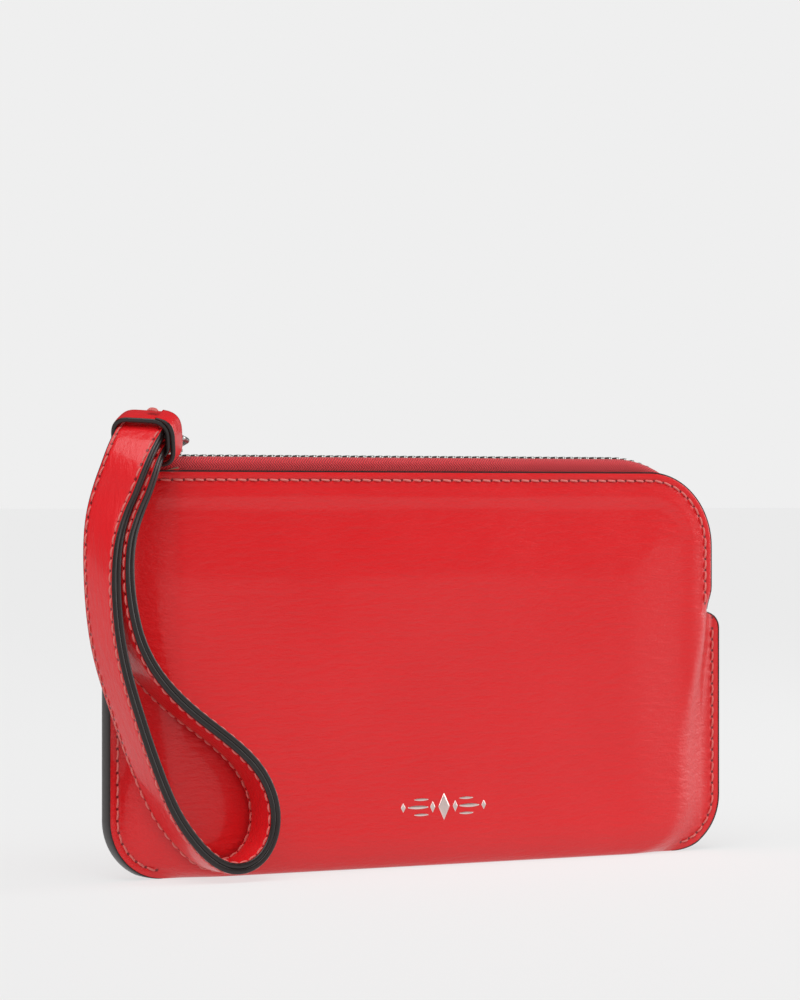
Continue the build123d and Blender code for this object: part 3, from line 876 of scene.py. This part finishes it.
# %% Tapes
tape_edge = mouth - seam_half - 0.02
for side, name in ((-1, "front"), (1, "back")):
    travel = np.linspace(0, zip_length(tape_from, 0, tape_end), 190)
    at, angle = zip_places(travel, tape_from, 0)
    path = np.stack([at[:, 0], np.zeros(len(at)), at[:, 1]], axis=-1)
    across = np.tile([0.0, float(side), 0.0], (len(path), 1))
    out = np.stack([np.sin(angle), np.zeros(len(angle)), np.cos(angle)], axis=-1)
    reach = np.minimum(tape_edge, outer_y(at[:, 0], np.full(len(at), top - 4.0)) - seam_half - 0.1)
    reach = np.where(at[:, 1] < top, tape_edge, np.maximum(reach, tooth_edge + 0.9))
    fall = np.linspace(-tape_bend - 0.3, -tape_leg, 16)
    by_teeth = np.concatenate([[[0.0, -0.5], [0.0, -0.2]],
                               round_bend(0.2, -0.2, 0.2, 180, 90, 3), [[0.6, 0.0]]])
    by_panel = np.concatenate([
        round_bend(-tape_bend, -tape_bend, tape_bend, 90, 0, 8),
        np.stack([np.zeros(16), fall], axis=-1),
        np.stack([np.full(16, -tape_thick), fall[::-1]], axis=-1),
        round_bend(-tape_bend, -tape_bend, tape_bend - tape_thick, 0, 90, 6),
    ])
    profile = np.repeat(np.concatenate([by_teeth, by_panel])[None], len(path), axis=0)
    profile[:, :len(by_teeth), 0] += tooth_edge
    profile[:, len(by_teeth):, 0] += reach[:, None]
    points, faces = sweep(path, across, out, profile)
    girth = lengths_along(profile[60])
    weave = np.stack(np.meshgrid(travel, girth, indexing="ij"), axis=-1).reshape(-1, 2)
    weave = np.concatenate([weave, [[0, 0], [travel[-1], 0]]]) * mm
    tape = make_piece(name + "_zip_tape_cloth", points, faces, [zip_twill], maps={"cloth": weave})
    place(tape, "pouch", "tape", "zip_tape_" + name)

# %% [markdown]
# ### Teeth, stops, slider and ring
# A metal tooth is stamped with a rounded head and clamped round the cord on the tape's edge.
# There are 150, so each has only a few dozen faces. Stops and slider plates are rounded blocks:
# rings of one outline, drawn in along a small quarter circle at the edges.

# %% A rounded block
def rounded_block(centre, half_size, corner, edge, taper=0.0, count=28):
    """Rings of the outline |x/a|^p + |y/b|^p = 1, drawn in and rounded over the edge at the
    bottom and top. taper narrows the outline along X."""
    a, b, c = half_size
    angle = np.linspace(0, 2 * math.pi, count, endpoint=False)
    power = 2.0 / corner
    shape = np.stack([np.sign(np.cos(angle)) * np.abs(np.cos(angle)) ** power * a,
                      np.sign(np.sin(angle)) * np.abs(np.sin(angle)) ** power * b], axis=-1)
    shape[:, 1] *= 1 - taper * (shape[:, 0] / a + 1) / 2
    turn = np.linspace(-math.pi / 2, 0, 4)
    drawn = np.concatenate([edge * (1 - np.cos(turn)), edge * (1 - np.cos(turn[::-1]))])
    level = np.concatenate([-c + edge + edge * np.sin(turn), c - edge - edge * np.sin(turn[::-1])])
    inward = 1 - drawn[:, None, None] / np.array([a, b])[None, None]
    rings = np.concatenate([shape[None] * inward,
                            np.broadcast_to(level[:, None, None], (8, count, 1))], axis=-1)
    points = np.concatenate([rings.reshape(-1, 3), [[0, 0, -c], [0, 0, c]]]) + centre
    return points, tube_faces(8, count)


# %% Teeth
tooth_pitch = 2.6
tooth_axis = tape_thick / 2


def teeth_row(name, side, node):
    """One tooth's sections from its head to the tape, carried to every place on the line."""
    start = node_box(node)[0][0] + 0.55
    count = int(zip_length(start, tooth_axis, tape_end + tooth_pitch) / tooth_pitch) + 1
    at, angle = zip_places(np.arange(count) * tooth_pitch, start, tooth_axis)
    along_y = side * np.array([-0.72, -0.6, -0.2, 0.5, 1.3, 2.1, 2.45])
    half_x = np.array([0.30, 0.44, 0.52, 0.46, 0.55, 0.56, 0.42])
    half_z = np.array([0.42, 0.66, 0.80, 0.78, 0.85, 0.83, 0.62])
    turn = np.linspace(0, 2 * math.pi, 8, endpoint=False) + math.pi / 8
    square = np.stack([np.cos(turn), np.sin(turn)], axis=-1)
    square = np.sign(square) * np.abs(square) ** 0.6
    local = np.stack([half_x[:, None] * square[:, 0], np.broadcast_to(along_y[:, None], (7, 8)),
                      half_z[:, None] * square[:, 1]], axis=-1).reshape(-1, 3)
    local = np.concatenate([local, [[0, along_y[0] - side * 0.1, 0], [0, along_y[-1], 0]]])
    cos, sin = np.cos(angle)[:, None], np.sin(angle)[:, None]
    points = np.stack([at[:, :1] + local[:, 0] * cos + local[:, 2] * sin,
                       np.broadcast_to(local[:, 1], (count, len(local))),
                       at[:, 1:] - local[:, 0] * sin + local[:, 2] * cos], axis=-1)
    faces = repeated(tube_faces(7, 8), len(local), count)
    piece = make_piece(name, points, faces, [zip_metal])
    return place(piece, "pouch", "zip_metal", node)


for side, name in ((-1, "front"), (1, "back")):
    row = teeth_row(name + "_zip_teeth", side, "zip_teeth_" + name)
    print(row.name, len(row.data.polygons) // 64, "teeth")

stop_low, stop_high = node_box("zip_top_stops")
stop_middle, stop_half = (stop_low + stop_high) / 2, (stop_high - stop_low) / 2
top_stop_parts = [
    rounded_block(stop_middle + [0, side * 1.7, 0], (stop_half[0], 0.72, stop_half[2]), 3.5, 0.25)
    for side in (-1, 1)
]
place(make_piece("zip_top_stop_pair", *merge(top_stop_parts), [zip_metal]), "pouch", "zip_metal",
      "zip_top_stops")
end_low, end_high = node_box("zip_end_stop")
end_part = rounded_block((end_low + end_high) / 2, (end_high - end_low) / 2, 3.5, 0.3)
place(make_piece("zip_bottom_stop", *end_part, [zip_metal]), "pouch", "zip_metal", "zip_end_stop")

# %% Slider and its bail
slider_low, slider_high = node_box("slider_body")
slider_middle = (slider_low + slider_high) / 2
slider_half = (slider_high - slider_low) / 2
plate_half = 0.5
lip_half = 0.45
plates = [
    rounded_block(slider_middle + [0, 0, side * (slider_half[2] - plate_half)],
                  (slider_half[0], slider_half[1], plate_half), 3.0, 0.3, taper=0.14, count=40)
    for side in (-1, 1)
]
lips = [
    rounded_block(slider_middle + [-0.3, side * (slider_half[1] - 0.95), level * 1.25],
                  (slider_half[0] - 1.0, lip_half, 0.62), 3.5, 0.25)
    for side in (-1, 1) for level in (-1, 1)
]
post_at = np.array([slider_low[0] + 1.1, 0, slider_middle[2]])
post = rounded_block(post_at, (1.0, 0.85, 1.6), 2.5, 0.2)
slider_piece = make_piece("zip_slider", *merge(plates + lips + [post]), [zip_metal])
place(slider_piece, "slider", "zip_metal", "slider_body")

bail_low, bail_high = node_box("slider_bail")
bail_bar = 1.0
angle = np.linspace(0, math.pi, 40)
reach_x = (bail_high[0] - bail_low[0] - bail_bar) / 2
rise = bail_high[2] - bail_low[2] - bail_bar / 2
squareness, sunk = 0.42, 0.2
sway = np.sign(np.cos(angle)) * np.abs(np.cos(angle)) ** squareness
arch = np.stack([(bail_low[0] + bail_high[0]) / 2 - reach_x * sway, np.zeros(40),
                 bail_low[2] - sunk + (rise + sunk) * np.abs(np.sin(angle)) ** squareness], axis=-1)
tangent = directions(arch)
level = np.tile([0.0, 1.0, 0.0], (40, 1))
square = ellipse(1, 1, 16)
square = np.sign(square) * np.abs(square) ** 0.6 * [0.7, bail_bar / 2]
bail = sweep(arch, level, np.cross(tangent, level), square)
place(make_piece("slider_bail_loop", *bail, [zip_metal]), "slider", "zip_metal", "slider_bail")

# %% The ring
joint = {entry["name"]: entry for entry in frame["joints"]}
near_bar = np.array(joint["ring_flip"]["pos_m"]) / mm
far_bar = np.array(joint["strap_swing"]["pos_m"]) / mm
bar_line = -unit(np.array(joint["strap_swing"]["axis"], dtype=float))
ring_out = unit(far_bar - near_bar)
ring_long = np.linalg.norm(far_bar - near_bar)
wire = 0.7
near_half, far_half, square_arm = 3.2, 7.7, 4.8


def rounded_loop(corners, radius, count=8):
    """A closed polygon whose corners are small parabolas between points a radius away."""
    corners = np.asarray(corners, dtype=float)
    before = unit(np.roll(corners, 1, axis=0) - corners) * radius
    after = unit(np.roll(corners, -1, axis=0) - corners) * radius
    share = np.linspace(0, 1, count)[None, :, None]
    bends = ((corners + before)[:, None] * (1 - share) ** 2
             + corners[:, None] * 2 * share * (1 - share) + (corners + after)[:, None] * share ** 2)
    return bends.reshape(-1, corners.shape[1])


ring_flat = rounded_loop([
    (near_half, 0), (far_half, ring_long - square_arm), (far_half, ring_long),
    (-far_half, ring_long), (-far_half, ring_long - square_arm), (-near_half, 0)], 1.3)
ring_path = near_bar + ring_flat[:, :1] * bar_line + ring_flat[:, 1:] * ring_out
ring_normal = np.tile(np.cross(bar_line, ring_out), (len(ring_path), 1))
beside = np.cross(directions(ring_path, closed=True), ring_normal)
ring_mesh = sweep(ring_path, unit(beside), ring_normal, ellipse(wire, wire, 18), closed=True)
place(make_piece("pull_ring_wire", *ring_mesh, [wire_metal]), "ring", "ring_metal", "pull_ring")
print("ring length", round(ring_long, 2))

# %% [markdown]
# ## The wrist strap
# The strap is a flat strip of two leather layers, folded round the ring's bar and closed in a
# loop by the keeper. A strip is not a cord: it keeps its width level and bends one way. So it
# is a profile carried along a route of listed places, measured from the ring's far bar,
# with the turn of its width at each. A smooth curve runs through them.

# %% The strap's route
strap_width = 13.0
strap_layer = 1.5
strap_wrap = wire + 0.2 + strap_layer
strap_lean = math.radians(4.0)
strap_clear = 0.44          # between the strap's edge and the fullest place of the front
front_run = -(belly + strap_clear + strap_width / 2) - far_bar[1]
lower_start = [(-5.4, -5.2, -3.1, 45), (-2.9, -2.8, -2.4, 45)]
falling_run = [
    (-2.9, -2.8, 2.5, 45), (-5.8, -5.6, 1.9, 45), (-8.6, -8.4, -0.0, 44),
    (-11.7, -10.3, -3.5, 40), (-13.8, -10.5, -8.3, 33), (-15.0, -9.0, -12.9, 29),
    (-16.1, -7.3, -17.3, 28),
]
hanging_run = [
    (-17.8, -23.5, 21), (-18.7, -30.3, 13), (-18.7, -40.3, 10), (-17.8, -50.3, 9),
    (-16.3, -58.3, 8), (-13.7, -66.8, 6), (-8.9, -79.8, 4), (-2.7, -95.5, 3), (2.0, -102.8, 1),
    (7.4, -109.1, 0), (12.7, -113.4, 0), (18.4, -115.1, 0), (24.2, -113.4, 0), (28.4, -108.4, 0),
    (30.0, -100.4, 0), (27.1, -91.7, 0), (21.0, -84.1, 0), (10.0, -76.6, 0), (-2.0, -67.4, 2),
    (-9.2, -58.2, 5), (-12.6, -50.4, 8), (-14.6, -40.4, 10), (-15.1, -30.0, 13),
    (-14.0, -23.3, 21),
]
rising_run = [
    (-12.2, -7.3, -17.1, 28), (-11.1, -8.7, -12.9, 29), (-10.3, -9.7, -9.1, 33),
    (-9.1, -8.9, -6.2, 40), (-7.1, -6.9, -4.0, 45), (-5.9, -5.7, -3.3, 45),
]
hanging_run = [(across, front_run, drop, turn) for across, drop, turn in hanging_run]


def smooth_curve(places, per_span):
    """A curve through every place. Between two places it is a cubic whose slope at each is the
    slope between that place's neighbours, by their distances apart."""
    places = np.asarray(places, dtype=float)
    gone = lengths_along(places[:, :3])
    slope = np.gradient(places, gone, axis=0)
    share = np.arange(per_span)[None, :, None] / per_span
    first, last = places[:-1, None], places[1:, None]
    reach = np.diff(gone)[:, None, None]
    curve = ((2 * share ** 3 - 3 * share ** 2 + 1) * first
             + (3 * share ** 2 - 2 * share ** 3) * last
             + reach * ((share ** 3 - 2 * share ** 2 + share) * slope[:-1, None]
                        + (share ** 3 - share ** 2) * slope[1:, None]))
    return np.concatenate([curve.reshape(-1, places.shape[1]), places[-1:]])


wrap_angle = np.radians(np.arange(-90, 91, 22.5))[:, None]
wrap_up = np.cross(bar_line, -ring_out)
wrap = strap_wrap * (-ring_out * np.cos(wrap_angle) + wrap_up * np.sin(wrap_angle))
stations = np.concatenate([lower_start, np.hstack([wrap, np.full((len(wrap), 1), 45.0)]),
                           falling_run, hanging_run, rising_run])
per_span = 7
curve = smooth_curve(stations, per_span)

# A running mean takes the last unevenness out of the part that hangs.
hangs_from = per_span * (len(lower_start) + len(wrap) + 2)
window = 13
ends = ((window // 2, window // 2), (0, 0))
hanging = np.pad(curve[hangs_from:], ends, mode="reflect", reflect_type="odd")
curve[hangs_from:] = sum(hanging[start:len(hanging) - window + 1 + start]
                         for start in range(window)) / window
strap_path = far_bar + curve[:, :3]
strap_turn = np.radians(curve[:, 3])
strap_gone = lengths_along(strap_path)
lean = strap_lean * smoothstep((np.degrees(strap_turn) - 14) / 12)
wide = np.stack([np.sin(strap_turn) * np.cos(lean), -np.cos(strap_turn) * np.cos(lean),
                 -np.sin(lean)], axis=-1)
strap_along = directions(strap_path)
strap_wide = unit(wide - strap_along * (wide * strap_along).sum(1, keepdims=True))
strap_out = np.cross(strap_along, strap_wide)
print("strap length", round(strap_gone[-1], 1))


# %% Two leather layers
def strap_section(low, high, count=25):
    """One layer's outline: a face crowned by 0.1 mm between its stitch rows and dented along
    them, rounded edges, and a flat face towards the other layer. low to high is its thickness."""
    edge = strap_width / 2
    outer_level = max(low, high, key=abs)
    inner_level = min(low, high, key=abs)
    sign = np.sign(outer_level)
    row = edge - strap_inset
    a = np.linspace(-edge + 0.42, edge - 0.42, count)
    crown = 0.10 * np.clip(1 - (a / row) ** 2, 0, 1)
    crown = crown - 0.13 * np.exp(-((np.abs(a) - row) / 0.5) ** 2)
    face = np.stack([a, outer_level + sign * crown], axis=-1)
    round_out = np.array([[0.22, 0.07], [0.06, 0.25], [0.0, 0.55], [0.0, 1.1], [0.06, 1.34],
                          [0.22, 1.47]])
    right = np.stack([edge - round_out[:, 0], outer_level - sign * round_out[:, 1]], axis=-1)
    left = right[::-1] * [-1, 1]
    back = np.array([[edge - 0.5, inner_level], [0, inner_level], [-edge + 0.5, inner_level]])
    return np.concatenate([face, right, back, left]), count


for name, low, high, node in (("outer", 0.0, strap_layer, "strap_outer_layer"),
                              ("inner", -strap_layer, 0.0, "strap_inner_layer")):
    outline, face_count = strap_section(low, high)
    points, faces = sweep(strap_path, strap_wide, strap_out, outline)
    columns = len(outline)
    gap = strap_width / 2 - np.abs(outline[:, 0])
    gap[np.abs(outline[:, 1]) < strap_layer * 0.6] = 5.0
    sewn = np.stack(np.meshgrid(strap_gone, gap, indexing="ij"), axis=-1).reshape(-1, 2)
    sewn = np.concatenate([sewn, [[0, 5], [0, 5]]]) * mm
    painted = np.zeros(columns, dtype=int)
    painted[face_count - 1:face_count + 6] = 1
    painted[face_count + 8:] = 1
    numbers = np.concatenate([np.tile(painted, len(strap_path) - 1), np.zeros(2 * columns, int)])
    layer = make_piece("strap_" + name + "_leather", points, faces, [strap_leather, edge_paint],
                       face_material=numbers, maps={"sewing": sewn})
    place(layer, "strap", "leather", node)

# %% Strap stitches
stitch_count = int(strap_gone[-1] / strap_pitch)
stitch_at = (np.arange(stitch_count) + 0.5) * strap_pitch


def along_strap(values):
    """Values given at each place of the strap's path, read at the stitches."""
    return np.stack([np.interp(stitch_at, strap_gone, values[:, axis]) for axis in range(3)],
                    axis=-1)


for row_side, name in ((1, "front"), (-1, "back")):
    middles, runs, outs = [], [], []
    for face_side in (1, -1):
        across = unit(along_strap(strap_wide))
        out = unit(along_strap(strap_out)) * face_side
        centre = along_strap(strap_path)
        middles.append(centre + across * row_side * (strap_width / 2 - strap_inset)
                       + out * (strap_layer - 0.13))
        runs.append(unit(along_strap(strap_along)))
        outs.append(out)
    stitches("strap_stitches_" + name, "strap", "thread", np.concatenate(middles),
             np.concatenate(runs), np.concatenate(outs), ["strap_thread_" + name],
             length=strap_pitch, thick=0.6)

# %% [markdown]
# ### Keeper
# A short band of the same leather is wrapped round both runs of the strap. Its ends overlap on
# the upper face and a few stitches tack them down, so its path is a rounded rectangle that
# climbs by one thickness before it closes.

# %% Keeper band and tack
keeper_turn, keeper_fall = math.radians(45.0), math.radians(20.0)
keeper_along = np.array([-math.cos(keeper_turn) * math.cos(keeper_fall),
                         -math.sin(keeper_turn) * math.cos(keeper_fall), -math.sin(keeper_fall)])
keeper_wide = unit(bar_line - keeper_along * (bar_line @ keeper_along))
keeper_up = np.cross(keeper_along, keeper_wide)
keeper_centre = far_bar + np.array([-5.7, -5.6, -0.7])
keeper_width, keeper_tall, keeper_wall, keeper_length = 13.6, 10.6, 1.3, 7.0
middle_w, middle_h = keeper_width / 2 + keeper_wall / 2, keeper_tall / 2 + keeper_wall / 2
loop = rounded_loop([(middle_w, middle_h), (-middle_w, middle_h), (-middle_w, -middle_h),
                     (middle_w, -middle_h)], 4.4, 14)
closed_loop = np.concatenate([loop, loop[:1]])
gone = lengths_along(closed_loop)
whole = gone[-1]
overlap = 12.0
start_at = -6.0
at = start_at + np.linspace(0, whole + overlap, 150)
loop_at = np.stack([np.interp(at % whole, gone, closed_loop[:, axis]) for axis in range(2)],
                   axis=-1)
loop_step = np.gradient(loop_at, axis=0)
loop_out = unit(np.stack([loop_step[:, 1], -loop_step[:, 0]], axis=-1))
loop_out *= np.sign((loop_out * loop_at).sum(1, keepdims=True))
climb = (keeper_wall + 0.04) * smoothstep((at - start_at - whole + 4.0) / 5.0)
climb = climb - 0.25 * np.clip(1 - (at - start_at) / 2.5, 0, 1)
loop_at = loop_at + loop_out * climb[:, None]
keeper_path = keeper_centre + loop_at[:, :1] * keeper_wide + loop_at[:, 1:] * keeper_up
keeper_out = loop_out[:, :1] * keeper_wide + loop_out[:, 1:] * keeper_up
a = np.linspace(-1, 1, 15) * (keeper_length / 2 - 0.35)
bulge = 0.12 * (1 - (a / a[-1]) ** 2)
edge_round = np.array([[0.12, 0.06], [0.0, 0.3], [0.0, 0.65], [0.0, 1.0], [0.12, 1.24]])
right = np.array([keeper_length, keeper_wall]) / 2 - edge_round
skive = 0.35 + 0.65 * smoothstep(np.minimum(at - at[0], at[-1] - at) / 4.0)
band = np.concatenate([np.stack([a, keeper_wall / 2 + bulge], axis=-1), right,
                       [[a[-1], -keeper_wall / 2], [0, -keeper_wall / 2], [a[0], -keeper_wall / 2]],
                       right[::-1] * [-1, 1]])
bands = np.repeat(band[None], len(at), axis=0)
bands[..., 1] = (bands[..., 1] + keeper_wall / 2) * skive[:, None] - keeper_wall / 2
points, faces = sweep(keeper_path, np.tile(keeper_along, (len(at), 1)), keeper_out, bands)
painted = np.zeros(len(band), dtype=int)
painted[14:20] = 1
painted[22:] = 1
numbers = np.concatenate([np.tile(painted, len(keeper_path) - 1), np.ones(2 * len(band), int)])
keeper = make_piece("strap_keeper", points, faces, [strap_leather, edge_paint], numbers)
place(keeper, "strap", "leather", "keeper_band")

tack_top = keeper_centre + keeper_up * (keeper_tall / 2 + 2 * keeper_wall + 0.02)
tack_middles = tack_top + 2.6 * keeper_wide + np.outer([-0.35, 0.35], keeper_along)
stitches("keeper_tack_stitches", "strap", "thread", tack_middles, np.tile(keeper_wide, (2, 1)),
         np.tile(keeper_up, (2, 1)), ["keeper_tack"], length=3.4, thick=0.7)

# %% [markdown]
# ## A stamped ornament
# The front carries a small foil stamp low down near the middle. A plain row of lozenges and
# bars stands for it: each is a little grid laid on the leather, a few hundredths proud.

# %% Foil stamp
def stamped(shape_x, shape_z):
    """A shape's grid laid on the front panel as a thin closed shell."""
    points = [np.stack([shape_x, -outer_y(shape_x, shape_z) - proud, shape_z], axis=-1)
              for proud in (0.05, -0.25)]
    return np.stack(points).reshape(-1, 3), shell_faces(*shape_x.shape).tolist()


def lozenge(centre_x, centre_z, wide, tall):
    """A square grid turned by 45 degrees and stretched."""
    a, b = np.meshgrid(np.linspace(-1, 1, 9), np.linspace(-1, 1, 9), indexing="ij")
    return stamped(centre_x + wide / 2 * (a + b) / 2, centre_z + tall / 2 * (a - b) / 2)


def bar(centre_x, centre_z, length, tall):
    """A strip that narrows to both ends."""
    a, b = np.meshgrid(np.linspace(-1, 1, 25), np.linspace(-1, 1, 4), indexing="ij")
    return stamped(centre_x + length / 2 * a, centre_z + tall / 2 * b * (1 - 0.75 * a ** 2))


stamp_x, stamp_z = 1.0, 16.6
marks = [lozenge(stamp_x, stamp_z, 3.6, 7.6)]
for side in (-1, 1):
    marks += [lozenge(stamp_x + side * 3.6, stamp_z, 1.6, 3.2),
              bar(stamp_x + side * 8.2, stamp_z, 6.4, 1.0)]
    marks += [bar(stamp_x + side * 7.2, stamp_z + level, 4.4, 0.7) for level in (2.1, -2.1)]
    marks.append(lozenge(stamp_x + side * 12.9, stamp_z, 1.5, 2.6))
place(make_piece("foil_stamp", *merge(marks), [silver_foil]), "pouch", "ring_metal")

# %% [markdown]
# ## Floor, light and camera
# A wide pale floor and a pale world give the even light of a photographer's table. One large
# soft light from the upper left front models the folds, and a second fills the right side.

# %% Floor and world
scene = bpy.context.scene
floor_material, floor_shader = new_material("matt_white_paper", roughness=0.85)
floor_shader.inputs["Base Color"].default_value = colour("#7d7d7d")
floor_shader.inputs["Emission Color"].default_value = colour("#efefef")
floor_shader.inputs["Emission Strength"].default_value = 0.76
floor_shader.inputs["Specular IOR Level"].default_value = 0.1
floor_reach = 40000.0
floor_points = np.array([[-1, -1, 0], [1, -1, 0], [1, 1, 0], [-1, 1, 0]]) * floor_reach
floor_points[:, 2] = -0.02
floor = make_piece("studio_floor", floor_points, [[0, 1, 2, 3]], [floor_material])

world = bpy.data.worlds.new("pale_studio")
scene.world = world
world.use_nodes = True
world_tree = world.node_tree
seen_background = world_tree.nodes["Background"]
seen_background.inputs["Color"].default_value = colour("#efefef")
dim_background = world_tree.nodes.new("ShaderNodeBackground")
dim_background.inputs["Color"].default_value = colour("#efefef")
dim_background.inputs["Strength"].default_value = 0.12
light_path = world_tree.nodes.new("ShaderNodeLightPath")
either = world_tree.nodes.new("ShaderNodeMixShader")
world_tree.links.new(light_path.outputs["Is Camera Ray"], either.inputs[0])
world_tree.links.new(dim_background.outputs[0], either.inputs[1])
world_tree.links.new(seen_background.outputs[0], either.inputs[2])
world_tree.links.new(either.outputs[0], world_tree.nodes["World Output"].inputs["Surface"])
scene.view_settings.view_transform = "Standard"


# %% Lights
def aim_at(obj, place_at, target):
    """Puts a light at a place in metres and turns it to face a point."""
    obj.location = place_at
    away = obj.location - mathutils.Vector(target)
    obj.rotation_euler = away.to_track_quat("Z", "Y").to_euler()
    bpy.context.collection.objects.link(obj)


def soft_light(name, place_at, size, power):
    """A square area light that faces the wallet."""
    light = bpy.data.lights.new(name, "AREA")
    light.size = size
    light.energy = power
    aim_at(bpy.data.objects.new(name, light), place_at, (0, 0, 0.05))


sky = bpy.data.lights.new("overhead_softbox", "SUN")
sky.energy = 2.9
sky.angle = math.radians(70)
aim_at(bpy.data.objects.new("overhead_softbox", sky), (-0.75, -0.8, 1.5), (0, 0, 0))
soft_light("right_light", (1.15, -0.3, 0.45), 0.9, 8.0)

# %% Camera
lens = 138.62
view_turn = math.radians(30.0)
camera_height = 0.1013
camera_data = bpy.data.cameras.new("studio_camera")
camera_data.lens = lens
camera_data.sensor_width = 36.0
camera = bpy.data.objects.new("studio_camera", camera_data)
bpy.context.collection.objects.link(camera)
camera.rotation_euler = (math.pi / 2, 0, -view_turn)
camera.location = (-0.54194, -0.92515, camera_height)
scene.camera = camera
